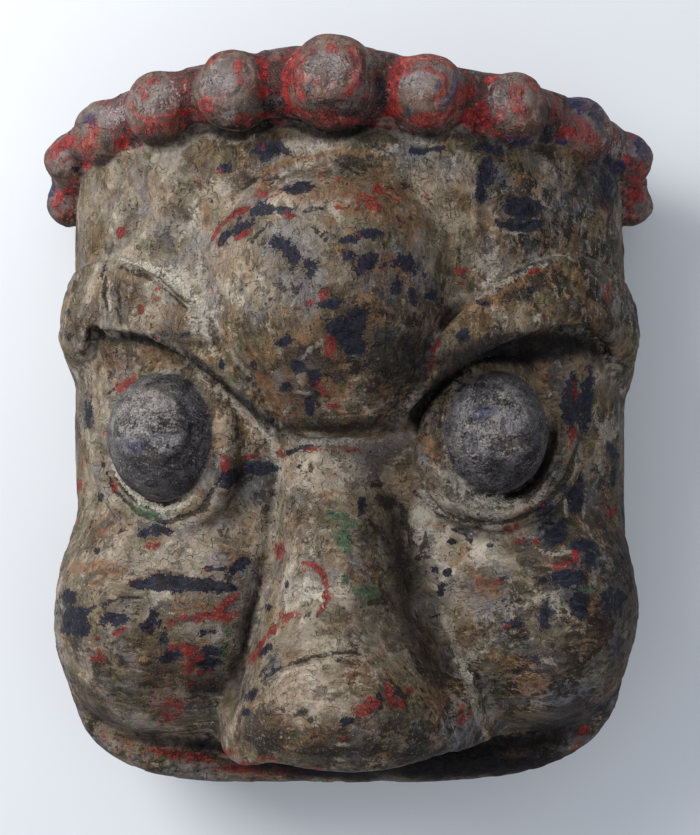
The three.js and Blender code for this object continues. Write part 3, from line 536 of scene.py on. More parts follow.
PATCHES = {
    "navy": [(303, 188, 20, 6, -5, .9), (262, 212, 15, 6, -8, .9), (285, 211, 11, 6, 0, .9), (240, 230, 17, 6, -35, .8), (225, 238, 9, 5, -50, .8), (280, 243, 10, 5, 25, .7), (293, 258, 6, 12, 0, .5), (309, 268, 7, 12, 15, .55),
             (372, 234, 14, 6, 0, .9), (350, 240, 10, 4, 0, .8), (405, 264, 13, 11, 0, .9), (398, 285, 7, 13, 0, .8), (413, 297, 5, 9, 0, .9), (430, 297, 6, 4, 0, .7), (332, 304, 14, 6, 0, .8), (352, 322, 14, 16, 30, 1),
             (344, 333, 24, 11, 40, 1), (352, 344, 14, 9, 0, 1), (285, 342, 11, 5, -15, 1.1), (296, 366, 9, 8, 0, 1.1), (254, 365, 3, 6, -15, 1), (313, 381, 6, 9, 0, 1), (286, 387, 7, 5, 0, 1), (310, 405, 5, 13, 0, 1), (222, 365, 4, 7, 0, 1),
             (88, 413, 5, 14, 0, .7), (100, 497, 4, 4, 0, .8), (232, 478, 12, 8, -25, .8), (263, 468, 16, 7, 0, .9), (268, 150, 14, 7, 0, .5), (225, 168, 8, 5, 0, .6),
             (485, 172, 9, 16, 0, .9), (480, 195, 7, 14, 0, .8), (520, 208, 18, 10, 0, 1), (512, 225, 14, 7, 10, 1), (530, 225, 10, 5, 0, .8), (490, 148, 20, 8, 0, .6), (425, 150, 16, 5, 0, .7), (605, 185, 10, 18, 0, .7),
             (485, 302, 7, 5, 0, .8), (530, 293, 4, 9, 35, .7), (463, 338, 6, 8, 30, .8), (572, 405, 9, 30, 0, .9), (587, 398, 8, 28, 8, .9), (575, 500, 12, 20, 0, .7), (548, 518, 12, 14, 0, .8), (612, 450, 4, 9, -40, .7),
             (68, 598, 9, 8, 0, 1), (74, 614, 16, 8, 5, 1), (76, 627, 17, 9, 0, 1), (115, 621, 14, 7, 0, .7), (96, 550, 4, 4, 0, .6), (160, 530, 17, 6, 5, .6), (145, 534, 5, 4, 0, .8), (240, 564, 14, 5, -35, .8),
             (203, 632, 7, 6, 0, 1), (214, 630, 7, 5, 0, 1), (211, 650, 11, 7, 0, .9), (206, 662, 14, 5, 0, .9), (168, 655, 12, 7, -15, .8), (163, 640, 6, 8, 0, .6),
             (362, 505, 4, 10, 0, .7), (310, 447, 12, 3, 0, .7), (292, 452, 8, 3, -20, .7), (287, 585, 2, 5, 0, .8), (271, 608, 5, 4, 0, .8), (265, 652, 8, 4, -40, .8), (250, 695, 8, 4, -50, .8), (245, 712, 4, 4, 0, .8), (347, 721, 9, 4, -10, .9), (345, 663, 12, 3, 10, .5),
             (435, 570, 5, 6, 0, .7), (446, 573, 5, 4, 0, .7), (440, 590, 5, 8, 0, .6), (570, 577, 19, 8, 0, 1.1), (580, 606, 9, 15, -10, 1.1), (590, 560, 9, 11, 0, .8), (552, 530, 17, 16, 0, .8), (585, 545, 12, 7, 0, .8), (548, 580, 12, 6, 0, .7), (545, 612, 4, 14, 10, .7), (517, 625, 8, 4, 0, .8), (490, 545, 5, 3, 0, .7), (595, 708, 8, 5, -30, .8)],
    "red": [(262, 195, 8, 4, 0, .7), (378, 190, 7, 6, 0, .7), (375, 208, 8, 3, 0, .9), (360, 199, 20, 9, 0, .45), (243, 235, 11, 3, -35, .9), (290, 217, 8, 3, -10, .7), (325, 291, 6, 4, -30, .5), (121, 233, 4, 5, 0, 1), (307, 303, 6, 3, 0, .5),
            (330, 345, 6, 11, 0, .6), (325, 392, 11, 6, 0, .5), (335, 405, 9, 3, 0, .7), (158, 338, 4, 2, 0, .9), (127, 385, 8, 5, -30, .7), (107, 432, 5, 3, 0, .7), (225, 463, 4, 7, 0, 1.1), (283, 456, 6, 4, 40, 1), (250, 457, 11, 2, -10, .8), (78, 486, 4, 5, 0, 1), (115, 480, 3, 9, 0, .5),
            (430, 200, 3, 5, 0, .6), (463, 277, 5, 8, 0, .45), (607, 298, 4, 14, 0, .7), (573, 441, 4, 8, 0, .9), (613, 512, 4, 7, 0, .8), (575, 390, 3, 7, 0, .5),
            (205, 616, 30, 5, -8, 1.1), (231, 600, 12, 6, -40, 1.2), (225, 616, 13, 5, 0, 1.1), (173, 622, 6, 5, 0, .9), (191, 648, 9, 6, 0, 1.1), (190, 672, 8, 12, 0, .6), (152, 546, 9, 4, -15, .8), (100, 655, 8, 5, 0, .6), (98, 639, 4, 4, 0, .8), (118, 632, 9, 3, -20, .7), (172, 706, 13, 8, 0, .35),
            (278, 550, 5, 8, 0, .7), (288, 615, 8, 4, -10, .7), (312, 571, 8, 3, 5, .7), (273, 630, 4, 8, 30, 1), (262, 645, 4, 10, 35, 1), (255, 656, 4, 8, 45, .9), (365, 709, 13, 8, -20, 1.2), (393, 703, 9, 7, 20, 1.1), (387, 690, 4, 8, 0, .9), (410, 690, 4, 4, 0, .6), (462, 716, 4, 9, 0, .5), (470, 712, 3, 7, 0, .4), (330, 450, 20, 2.5, 0, .6),
            (508, 532, 5, 4, 0, 1), (517, 529, 4, 3, 0, .9), (518, 540, 5, 2, 0, .8), (537, 541, 3, 4, 0, .9), (562, 562, 8, 6, 0, .7), (576, 556, 4, 6, 0, .9), (490, 582, 9, 4, 0, .5), (507, 628, 4, 3, 0, .7), (585, 731, 6, 4, -20, 1.1),
            (170, 752, 18, 5, 12, 1), (202, 758, 18, 5, 8, 1), (242, 768, 30, 5, 4, 1.1), (290, 772, 26, 4, 0, 1.1), (225, 752, 10, 4, 5, .7)],
    "green": [(228, 632, 5, 6, 0, 1), (224, 648, 5, 11, 10, 1.1), (340, 515, 11, 5, 15, .8), (348, 522, 8, 6, 0, .9), (344, 538, 7, 8, 0, 1), (348, 551, 5, 7, 0, 1), (345, 580, 4, 9, 0, .5), (366, 592, 10, 5, 0, .5), (152, 509, 18, 7, 5, .5), (582, 590, 9, 5, 0, .5), (296, 738, 4, 4, 0, .7)],
    "ochre": [(296, 192, 4, 3, 0, 1.2), (315, 193, 20, 9, 0, .7), (345, 185, 17, 8, 0, .7), (265, 188, 14, 8, 0, .6), (400, 196, 26, 14, 0, .5), (246, 276, 7, 3, 0, .9), (243, 285, 3, 4, 20, .8), (298, 403, 9, 6, 0, 1.2), (297, 421, 9, 7, 0, 1.2), (271, 386, 9, 9, 0, .7), (275, 131, 11, 6, 0, .9), (207, 215, 4, 14, 0, .8),
              (90, 567, 24, 7, 0, .8), (93, 583, 6, 3, 0, 1.1), (115, 363, 18, 8, 0, .5), (437, 455, 6, 11, 0, .6), (515, 283, 14, 5, -25, .8), (495, 301, 12, 5, -50, .6), (485, 592, 18, 12, 0, .6), (530, 686, 18, 12, -10, .7), (505, 662, 20, 9, 0, .5), (515, 755, 12, 5, -10, .7), (580, 153, 15, 7, 0, .8), (335, 92, 22, 5, 0, .7), (127, 742, 11, 7, 40, .8), (205, 643, 7, 4, 0, .8), (320, 736, 6, 5, 0, .8), (440, 700, 16, 9, 0, .5)],
    "pale": [(222, 187, 13, 9, 0, .8), (295, 145, 26, 6, 0, .6), (180, 282, 26, 12, 25, .7), (196, 305, 8, 18, 0, .8), (150, 268, 30, 4, 10, .6), (235, 300, 10, 4, 15, .8), (228, 290, 4, 7, -20, .7), (240, 407, 28, 7, 38, .7), (105, 414, 5, 14, 0, .8), (58, 294, 3, 9, 0, .8),
             (558, 363, 5, 6, 0, .8), (538, 317, 2.5, 5, 30, 1.1), (490, 265, 9, 18, 0, .6), (455, 482, 18, 7, 40, .7), (490, 501, 32, 6, 0, .7), (440, 510, 22, 6, 25, .7), (606, 430, 8, 12, 0, .7), (157, 585, 8, 3, 0, .9), (313, 547, 2.5, 7, 20, 1.3), (296, 548, 2, 4, 0, .8), (309, 594, 6, 3, 0, .9),
             (312, 686, 5, 10, 0, .6), (316, 722, 4, 9, 30, .8), (345, 746, 9, 2, 0, 1), (111, 230, 2.5, 2.5, 0, 1.1), (335, 441, 40, 3.5, -2, .9), (403, 327, 2, 2, 0, 1), (440, 168, 2, 2, 0, 1), (455, 177, 4, 2, 0, .9), (550, 600, 12, 14, 0, .45), (300, 377, 4, 8, 0, .7), (550, 660, 10, 4, 20, .6)],
    # dark: chips and dark paint, and painted shade under the right brow, along the nose's lower edge and on the ledge
    # under the nose
    "dark": [(352, 164, 20, 6, 8, .6), (396, 364, 30, 24, 0, .6), (405, 345, 22, 10, 0, .6), (340, 428, 48, 6, 0, .7), (460, 362, 24, 10, -35, .9), (520, 338, 50, 5, -4, .9), (570, 335, 24, 5, 8, .8), (97, 664, 5, 10, 0, .7), (210, 688, 9, 4, 0, 1.1), (193, 690, 6, 3, 0, .9), (142, 686, 10, 7, 0, .6), (303, 711, 7, 5, 0, 1), (295, 716, 3, 3, 0, .9), (312, 722, 5, 4, 0, .9), (342, 732, 6, 3, 0, .8), (265, 738, 24, 7, 0, .6), (335, 753, 40, 6, 0, .7),
             (390, 502, 10, 8, 0, .7), (376, 484, 8, 4, 0, .7), (430, 757, 50, 8, 0, 1.1), (500, 742, 30, 5, -8, 1), (470, 766, 70, 9, -3, 1.0), (545, 745, 30, 10, -25, .8), (405, 186, 8, 5, 0, .6), (245, 650, 3, 9, 15, .7), (95, 348, 6, 5, -45, .3), (150, 335, 60, 3, 0, .5)],
    # blue: the larger patch on the boss's upper left is partly a painted sheen
    "blue": [(255, 317, 11, 7, 20, .6), (290, 235, 34, 12, 0, .5)],
    "tan": [(222, 258, 13, 15, 0, .8), (272, 230, 9, 3, -45, .9), (215, 135, 14, 10, 0, .7), (230, 112, 9, 9, 0, .7), (115, 731, 16, 6, 35, .9), (250, 682, 10, 12, -50, .6)],
    "olive": [],
}
STROKES = {
    # dark: cracks and folds, and painted shadow along the brows' lower edges and in the creases under the lower lids
    "dark": [(3.4, .9, [(87, 337), (120, 336), (150, 341), (180, 352), (198, 362), (225, 386), (252, 411), (272, 436)]), (3.6, .9, [(414, 418), (435, 386), (457, 366), (485, 349), (528, 340), (570, 342), (606, 353), (627, 368)]),
             (3.0, 1.0, [(101, 461), (113, 487), (137, 511), (165, 523), (201, 511), (222, 475)]), (3.0, 1.0, [(409, 488), (440, 513), (477, 526), (513, 524), (543, 510), (568, 477), (583, 433)]),
             (1.6, 1.2, [(239, 191), (250, 182), (262, 175)]), (1.5, 1, [(252, 243), (258, 232), (268, 225)]), (1.5, 1.2, [(300, 213), (312, 209), (328, 206)]), (1.3, 1, [(310, 222), (322, 236), (330, 240)]), (1.3, 1, [(280, 156), (292, 152)]), (1.4, 1.2, [(333, 161), (375, 158)]), (1.4, 1.2, [(338, 164), (362, 173)]),
             (1.4, 1.2, [(345, 161), (368, 170)]), (1.3, 1.2, [(352, 159), (374, 166)]), (1.3, .9, [(263, 306), (270, 300)]), (1.2, .9, [(240, 293), (247, 285)]), (2.0, 1, [(106, 275), (104, 290), (108, 312)]), (2.4, .8, [(120, 285), (119, 305), (121, 325)]), (2.2, .8, [(120, 268), (150, 278), (175, 295), (192, 314)]),
             (1.4, 1.2, [(160, 375), (168, 371), (178, 366)]), (1.3, 1.2, [(105, 394), (115, 390)]), (1.5, 1.2, [(262, 498), (272, 498), (279, 490)]), (1.5, 1.1, [(86, 609), (105, 603), (120, 597), (142, 597)]), (1.5, .8, [(262, 680), (280, 668), (310, 658), (345, 652), (372, 656)]), (1.4, .8, [(358, 608), (375, 602), (395, 603)]),
             (2.5, 1, [(400, 500), (408, 530), (412, 545)]), (1.6, .9, [(478, 299), (500, 288), (520, 279)]), (1.4, .9, [(385, 186), (395, 190)]), (1.5, .9, [(212, 183), (214, 195), (211, 203)]), (2, .9, [(225, 575), (235, 592)]), (1.3, .8, [(262, 575), (258, 600), (250, 622)])],
    # pale: dust and pale streaks, and painted highlight along the lower lids' rims; the line down the nose's left edge
    # is dust and painted highlight
    "pale": [(1.6, 1, [(187, 215), (197, 200), (203, 190)]), (1.6, 1, [(190, 222), (200, 206)]), (1.6, .9, [(178, 242), (192, 222)]), (3.2, .9, [(199, 250), (203, 290), (205, 330), (216, 362)]), (2.5, .9, [(300, 360), (312, 348), (326, 339)]), (1.4, 1, [(293, 392), (316, 394)]), (2.4, .9, [(285, 413), (293, 404)]), (1.8, 1, [(115, 282), (110, 295), (112, 310)]),
             (2.6, 1.1, [(121, 400), (140, 386), (160, 376), (172, 368)]), (2.4, .8, [(115, 410), (112, 440), (117, 466)]), (3.5, .9, [(236, 406), (258, 425), (275, 445), (275, 464)]), (1.3, .9, [(140, 558), (165, 550), (180, 546)]), (1.2, .8, [(183, 547), (205, 556)]), (1.4, 1, [(253, 582), (252, 600)]), (1.4, .8, [(268, 690), (290, 672), (330, 664)]),
             (4, .7, [(432, 600), (448, 632), (464, 668), (476, 702), (485, 735)]), (1.3, .8, [(474, 572), (480, 562), (492, 556), (503, 563)]), (1.3, .8, [(535, 545), (545, 552), (560, 553), (576, 550)]), (1.8, .8, [(565, 498), (567, 518)]), (1.8, .8, [(586, 488), (583, 520)]), (1.4, .8, [(485, 205), (500, 218), (520, 222), (540, 218)]), (1.3, .8, [(490, 228), (510, 234), (530, 232)]),
             (2.4, .7, [(475, 300), (500, 285), (525, 272), (548, 264)]), (3.0, .8, [(110, 456), (121, 480), (142, 501), (166, 511), (195, 501)]), (3.0, .8, [(424, 488), (450, 505), (480, 514), (512, 512), (536, 500), (556, 472)]), (2.4, .9, [(268, 425), (277, 442), (281, 470), (272, 510), (268, 545)])],
    "red": [(2.2, 1.1, [(141, 307), (141, 317)]), (3, .9, [(220, 228), (235, 213), (251, 207)]), (2.5, .9, [(213, 239), (222, 226)]), (1.6, .8, [(338, 208), (360, 210), (380, 205)]), (2.2, 1.2, [(528, 272), (541, 269)]), (3.4, .8, [(303, 562), (313, 565), (322, 572), (326, 586), (325, 605), (316, 617)]), (2.4, .7, [(428, 372), (434, 352), (442, 336)])],
    "ochre": [(2.6, .8, [(255, 175), (280, 165), (310, 158), (340, 152), (380, 152)]), (1.8, 1, [(125, 583), (150, 575), (178, 570)]), (2.4, 1, [(225, 570), (238, 560), (246, 552)]), (2, 1, [(168, 615), (190, 608), (222, 604)]), (2.6, .8, [(432, 342), (450, 321), (475, 302), (500, 288), (525, 276), (545, 269)]), (1.4, .8, [(320, 497), (335, 492), (352, 498)])],
    "navy": [(7, .9, [(132, 585), (160, 581), (200, 585), (236, 589)]), (3.2, .8, [(152, 610), (151, 636)]), (2.8, 1, [(450, 528), (465, 531), (474, 543)]), (3, .8, [(447, 540), (456, 543)]), (3.4, 1.1, [(379, 694), (380, 711)]), (1.6, .8, [(205, 570), (226, 568)])],
}
# crown: painted after the knobs' ground
KNOB_PATCHES = {
    "red": [(77, 185, 10, 8, 0, 1.2), (57, 200, 5, 8, 0, .7), (75, 213, 9, 6, 0, .5), (89, 144, 9, 8, 0, 1.2), (88, 157, 5, 10, 0, .9), (122, 142, 6, 11, 40, 1.1), (93, 128, 5, 7, 0, .7), (142, 90, 3, 7, 0, .7), (150, 82, 6, 3, -20, .7), (145, 98, 4, 4, 0, .6), (156, 117, 8, 3, -20, 1.1), (155, 127, 20, 5, 0, .6), (180, 113, 10, 4, 0, .6),
            (237, 66, 4, 7, 0, 1.1), (213, 60, 7, 2.5, -30, .9), (241, 78, 3, 7, 0, .7), (207, 107, 6, 10, 0, .9), (245, 118, 9, 6, 0, .9), (262, 92, 5, 5, 0, .8), (264, 70, 4, 11, 0, .7), (268, 117, 14, 4, 15, 1), (301, 97, 6, 7, 0, 1), (295, 108, 8, 5, 0, .7), (333, 50, 6, 4, 20, .9), (330, 118, 22, 6, 0, .5),
            (392, 112, 7, 8, 0, 1.1), (428, 118, 16, 5, 0, 1.1), (372, 126, 11, 5, 20, 1.1), (395, 130, 20, 4, 10, .7), (470, 90, 7, 6, 0, .9), (472, 119, 11, 9, 0, .8), (515, 95, 8, 9, 30, 1.1), (531, 85, 5, 10, -40, 1), (522, 110, 9, 5, 0, .6), (500, 118, 9, 5, 0, .5), (485, 133, 12, 5, 0, .6), (590, 136, 8, 13, -25, 1.2), (567, 133, 9, 5, 0, .8), (578, 136, 5, 4, 0, .7), (635, 168, 7, 13, 0, .8), (638, 180, 6, 4, 0, .9), (633, 194, 10, 9, 0, .8), (628, 210, 5, 8, 0, .6), (62, 146, 5, 4, 0, .5)],
    "navy": [(50, 190, 4, 9, 0, .8), (88, 118, 8, 6, -45, .6), (309, 88, 3, 5, 0, 1.1), (408, 112, 3, 8, 0, .9), (438, 84, 4, 4, 0, .6), (520, 143, 22, 5, 0, 1), (585, 106, 21, 7, 12, 1.2), (597, 117, 8, 10, -20, 1.1), (641, 146, 6, 13, -15, .8), (620, 170, 10, 5, 0, .6), (606, 182, 9, 16, 0, .8), (560, 150, 8, 8, 0, .6)],
    "dark": [(62, 175, 11, 4, 0, .9), (74, 169, 8, 4, 0, .8), (106, 160, 11, 6, 0, .9), (107, 146, 5, 8, 0, .7), (165, 142, 26, 5, -5, 1), (215, 128, 9, 6, 20, 1.3), (234, 130, 10, 5, -10, 1.3), (340, 103, 28, 5, 0, .7), (345, 112, 20, 5, 0, 1), (412, 136, 20, 4, 0, .8), (265, 106, 14, 7, 0, .4), (545, 112, 5, 9, 0, .9), (600, 165, 14, 6, -20, .8), (545, 135, 6, 10, 0, .8), (382, 95, 6, 18, 0, .5)],
    # pale: dust, and three painted highlight glints on the top of the fifth knob
    "pale": [(214, 68, 3, 3, 0, 1.3), (222, 60, 6, 1.6, -10, 1.1), (236, 60, 4, 2.5, 0, 1.3), (115, 114, 13, 9, 0, .5), (154, 98, 16, 10, -20, .35), (225, 84, 16, 9, -15, .4), (318, 43, 2, 2, 0, 1), (325, 66, 14, 12, 0, .3), (415, 82, 16, 12, 0, .45), (505, 100, 12, 12, 0, .3), (230, 113, 8, 8, 0, .6), (94, 125, 3, 4, 0, .8), (615, 150, 8, 8, 0, .3)],
}
KNOB_STROKES = {
    "red": [(5, 1, [(50, 158), (57, 148), (68, 142), (76, 138)]), (2, 1, [(131, 100), (134, 112), (144, 119), (152, 120)]), (6, 1.1, [(298, 90), (294, 72), (300, 52)]), (2, .8, [(285, 62), (284, 85), (290, 110)]), (4.5, 1.1, [(351, 45), (358, 62), (356, 84), (346, 96)]),
            (5, .9, [(398, 116), (392, 100), (393, 80), (402, 64), (418, 57), (440, 58), (455, 68)]), (4.5, .9, [(462, 84), (459, 104), (446, 118), (424, 125), (405, 122)]), (2, .7, [(405, 78), (412, 70), (430, 68), (444, 78), (446, 90), (436, 98)]), (3.5, .8, [(483, 100), (485, 120), (492, 131)]), (2.5, .9, [(485, 83), (496, 77)]), (3, .9, [(524, 78), (536, 90)])],
    "navy": [(3.2, 1.1, [(455, 70), (456, 86), (450, 98), (439, 108)])],
    "dark": [(2.5, .7, [(360, 50), (364, 66), (362, 86)])],
    "pale": [(1.2, .8, [(209, 98), (206, 108)]), (1.2, .8, [(213, 100), (211, 110)])],
}
# eyes, over their own ground
EYE_PATCHES = {
    "dark": [(186, 432, 5, 40, -12, .9), (203, 440, 14, 34, 0, .7), (165, 485, 40, 11, 0, 1.0), (180, 466, 40, 14, -10, .5), (192, 398, 12, 10, 40, .5), (533, 430, 8, 24, 0, 1.1), (526, 437, 8, 7, 0, 1), (474, 440, 4, 10, -15, .9), (490, 470, 44, 8, 0, .7), (500, 484, 40, 8, 0, .7), (485, 384, 44, 6, -5, .8), (446, 420, 6, 40, 10, .5), (503, 426, 3, 8, 0, .7)],
    "pale": [(148, 418, 28, 26, 0, .30), (498, 425, 26, 26, 0, .40), (172, 446, 8, 8, 0, .4), (128, 440, 8, 20, 10, .2), (470, 460, 22, 8, 30, .25)],
    "blue": [(482, 412, 11, 8, 0, .7), (130, 448, 12, 8, 0, .5), (497, 445, 8, 6, 0, .4)],
}
EYE_STROKES = {"pale": [(3.0, 1.3, [(116, 406), (124, 394), (136, 384), (152, 376), (172, 368)]), (2.6, 1.1, [(115, 408), (111, 430), (113, 452), (119, 472)])]}
# cracks and folded edges in the surface: millimetres (negative cuts in), width in pixels, points
GROOVES = [
    (-2.4, 5.5, [(101, 461), (113, 487), (137, 511), (165, 523), (201, 511), (222, 475)]), (-2.4, 5.5, [(409, 488), (440, 513), (477, 526), (513, 524), (543, 510), (568, 477), (583, 433)]),
    (-1.5, 2.8, [(275, 450), (273, 518), (259, 589), (243, 660), (224, 738)]), (-1.3, 2.8, [(407, 504), (418, 561), (439, 625), (464, 674), (485, 731)]),
    (-1.1, 4.5, [(484, 160), (482, 190), (486, 225), (488, 254)]), (0.8, 4.0, [(478, 165), (476, 195), (480, 230), (482, 254)]),
    (-1.0, 1.9, [(239, 191), (250, 182), (262, 175)]), (-0.8, 1.8, [(252, 243), (258, 232), (268, 225)]), (-0.9, 1.8, [(300, 213), (312, 209), (328, 206)]), (-0.7, 1.7, [(310, 222), (322, 236), (330, 240)]), (-0.8, 1.7, [(333, 161), (375, 158)]), (-0.8, 1.7, [(338, 164), (362, 173)]), (-0.8, 1.6, [(345, 161), (368, 170)]), (-0.7, 1.6, [(352, 159), (374, 166)]),
    (0.9, 3.2, [(250, 178), (280, 165), (310, 158), (345, 152), (380, 153), (412, 166)]), (-0.6, 2.4, [(262, 180), (290, 171), (320, 165)]), (0.8, 3.0, [(205, 215), (201, 245), (203, 290), (208, 330), (218, 361)]), (0.6, 1.8, [(187, 215), (197, 200), (203, 190)]), (0.6, 1.8, [(180, 240), (192, 222)]),
    (-0.9, 2.0, [(106, 275), (104, 290), (108, 312)]), (0.7, 1.9, [(115, 282), (110, 295), (112, 310)]), (-1.0, 2.4, [(120, 285), (119, 305), (121, 325)]), (-1.1, 2.4, [(120, 268), (150, 278), (175, 295), (192, 314)]), (-1.2, 1.9, [(160, 375), (168, 371), (178, 366)]), (0.6, 2.2, [(121, 400), (140, 385), (160, 375)]), (-1.0, 1.8, [(262, 498), (272, 498), (279, 490)]), (-0.8, 1.7, [(105, 394), (115, 390)]),
    (-0.9, 1.8, [(86, 609), (105, 603), (120, 597), (142, 597)]), (0.8, 2.4, [(60, 592), (78, 597), (88, 606), (95, 614)]), (0.6, 1.9, [(140, 558), (165, 550), (180, 546)]), (0.5, 1.8, [(183, 547), (205, 556)]), (0.7, 2.0, [(125, 583), (150, 575), (178, 570)]), (0.8, 2.0, [(225, 570), (238, 560), (246, 552)]), (-0.7, 2.4, [(132, 590), (170, 593), (235, 594)]), (0.6, 2.0, [(168, 615), (190, 608), (222, 604)]),
    (0.5, 1.9, [(105, 655), (120, 645), (140, 640), (150, 650), (140, 662), (118, 660)]), (0.5, 1.8, [(110, 670), (130, 675), (150, 668)]), (-0.9, 2.0, [(262, 680), (280, 668), (310, 658), (345, 652), (372, 656)]), (0.5, 1.9, [(268, 690), (290, 672), (330, 664)]), (-0.6, 1.8, [(320, 497), (335, 492), (352, 498)]), (-0.7, 1.9, [(358, 608), (375, 602), (395, 603)]),
    (-0.7, 1.8, [(262, 575), (258, 600), (250, 622)]), (0.6, 1.8, [(268, 560), (264, 590)]), (-0.5, 1.7, [(430, 600), (450, 650), (462, 690)]), (-0.5, 1.7, [(445, 620), (462, 660), (476, 705)]), (0.5, 1.7, [(438, 612), (458, 655), (470, 700)]), (0.6, 1.8, [(485, 205), (500, 218), (520, 222), (540, 218)]), (0.5, 1.7, [(490, 228), (510, 234), (530, 232)]),
    (0.6, 1.7, [(474, 572), (480, 562), (492, 556), (503, 563)]), (0.6, 1.7, [(535, 545), (545, 552), (560, 553), (576, 550)]), (-0.7, 1.9, [(478, 300), (500, 288), (525, 277), (548, 269)]), (-1.0, 2.4, [(207, 126), (216, 130), (244, 132)]), (0.7, 2.2, [(293, 392), (316, 394)]), (0.8, 2.4, [(300, 360), (312, 348), (326, 339)]), (0.8, 2.4, [(285, 413), (293, 404)])]
for k in range(7):
    GROOVES.append((-0.4, 1.6, [(64 + 6 * k, 276 - k), (68 + 6 * k, 300), (74 + 5 * k, 324)]))          # plies of the brow's folded end


def ellipse(u, v, cu, cv, ru, rv, ang):
    a = math.radians(ang)
    x, y = (u - cu) * math.cos(a) + (v - cv) * math.sin(a), -(u - cu) * math.sin(a) + (v - cv) * math.cos(a)
    return np.hypot(x / ru, y / rv)


def lay(f, flake, P, u, v, front, patches, strokes):
    """Adds listed patches and strokes to a field; 0 is the edge of the paint."""
    for cu, cv, ru, rv, ang, s in patches:
        R = 2.4 * max(ru, rv)
        m = np.nonzero(front & (np.abs(u - cu) < R) & (np.abs(v - cv) < R))[0]
        if len(m):
            e = ellipse(u[m], v[m], cu, cv, ru, rv, ang)
            f[m] = np.maximum(f[m], np.where(e < 2.2, s * (1 - e) + 0.55 * flake[m] - 0.1 * (1 - min(s, 1)), -1))
    for width, s, pts in strokes:
        lo_, hi_ = np.min(pts, 0) - 3 * width, np.max(pts, 0) + 3 * width
        m = np.nonzero(front & (u > lo_[0]) & (u < hi_[0]) & (v > lo_[1]) & (v < hi_[1]))[0]
        if len(m):
            b, at = to_line(u[m] + 1.5 * gnoise(P[m] / 5.0, 85), v[m] + 1.5 * gnoise(P[m] / 5.0, 86), pts)
            w = width * np.minimum(1, 4 * np.minimum(at, 1 - at) + 0.35)
            f[m] = np.maximum(f[m], np.where(b < 2.2 * w, s * (1.1 - b / w) + 0.3 * flake[m], -1))
    return f


def flakes(P, size, seed):
    return 1.5 * fbm(P + 2.5 * np.stack([gnoise(P / 6.0, 90 + k) for k in range(3)], 1), size, 5, 0.62, seed=seed)


def paint_fields(P, u, v, front):
    out = {}
    sizes = {"blue": 26, "tan": 24, "olive": 30, "pale": 16, "dark": 14}
    for n_, ch in enumerate(THRESH):
        flake = flakes(P, sizes.get(ch, 15), 100 + 7 * n_)
        low = np.zeros(len(P))
        for cu, cv, ru, rv, ang, s in ZONES.get(ch, ()):
            low += np.where(front, s * np.exp(-ellipse(u, v, cu, cv, ru, rv, ang) ** 2), 0)
        out[ch] = np.clip(lay(1.3 * flake - THRESH[ch] + low, flake, P, u, v, front, PATCHES.get(ch, ()), STROKES.get(ch, ())), -1, 1)
    return out


def over_fields(P, u, v, front, patches, strokes, channels):
    """Fields for the paint on knobs and eyes."""
    out = {}
    for n_, ch in enumerate(channels):
        flake = flakes(P, 9, 200 + 7 * n_)
        out[ch] = np.clip((0.14 if ch == "red" else 0.0) + lay(1.2 * flake - 1.05, flake, P, u, v, front, patches.get(ch, ()), strokes.get(ch, ())), -1, 1)
    return out


# ---- the mesh -------------------------------------------------------------------------------------------------------------
VOXEL = 1.7
lo = np.array([-154.0, -177.0, -3.5 * VOXEL])
cells = np.ceil(np.array([309.0, 352.0, 197.0]) / (VOXEL * 5)).astype(int)
V, Q = surface_nets(field(lo, cells, VOXEL, 5), lo, VOXEL)
for _ in range(2):                                        # settle the points on the true surface
    dist = solid(V)
    grad = np.stack([solid(V + np.eye(3)[k] * 0.25) - dist for k in range(3)], 1) / 0.25
    grad /= np.linalg.norm(grad, axis=1, keepdims=True) + 1e-6
    V = V - np.clip(dist, -0.6, 0.6)[:, None] * grad * 0.8

mesh = bpy.data.meshes.new("mask")
mesh.from_pydata(V.tolist(), [], Q.tolist())
mesh.update()
mask = bpy.data.objects.new("mask_skin", mesh)
bpy.context.scene.collection.objects.link(mask)

# thin out the inside and the plain lower sides, where little shows
d0 = forms(V)
plain = np.where(np.abs(hollow(d0, V)) < 2.0, 1.0, np.where((V[:, 2] < 50) & (d0["knob"] > 4), 0.5 - 0.4 * sstep(20, 50, V[:, 2]), 0.0))
group = mask.vertex_groups.new(name="plain")
for w in np.unique(np.round(plain, 1)):
    if w > 0:
        group.add(np.nonzero(np.round(plain, 1) == w)[0].tolist(), float(w), "REPLACE")
TRI_TARGET = 190000
if len(Q) * 2 > TRI_TARGET:
    dec = mask.modifiers.new("thin", "DECIMATE")
    dec.ratio = TRI_TARGET / (len(Q) * 2.0)
    dec.vertex_group = "plain"
    dec.vertex_group_factor = 10.0
    dg = bpy.context.evaluated_depsgraph_get()
    thin = bpy.data.meshes.new_from_object(mask.evaluated_get(dg))
    mask.modifiers.clear()
    mask.data = thin
    bpy.data.meshes.remove(mesh)
    mesh = thin
mask.vertex_groups.clear()

n = len(mesh.vertices)
P = np.zeros(n * 3)
mesh.vertices.foreach_get("co", P)
P = P.reshape(-1, 3)
N = np.zeros(n * 3)
mesh.vertices.foreach_get("normal", N)
N = N.reshape(-1, 3)
d = forms(P)
u, v = pixels(P)
hol = np.abs(hollow(d, P))
inner = (hol < 2.5) & (outside(d) < -2.5)
front = (N[:, 2] > 0.06) & ~inner


def closed_in(t):
    """How much of the way out along the normal is taken up by other forms, 0 open to 1 shut."""
    return np.clip(1 - outside(forms(P + N * t)) / t, 0, 1)


cavity = 0.5 * closed_in(3.0) + 0.5 * closed_in(9.0)
edge = np.clip(1 + outside(forms(P - N * 3.0)) / 3.0, 0, 1)
ends = np.zeros(len(mesh.edges) * 2, np.int32)
mesh.edges.foreach_get("vertices", ends)
ends = ends.reshape(-1, 2)
degree = np.bincount(ends.ravel(), minlength=n)


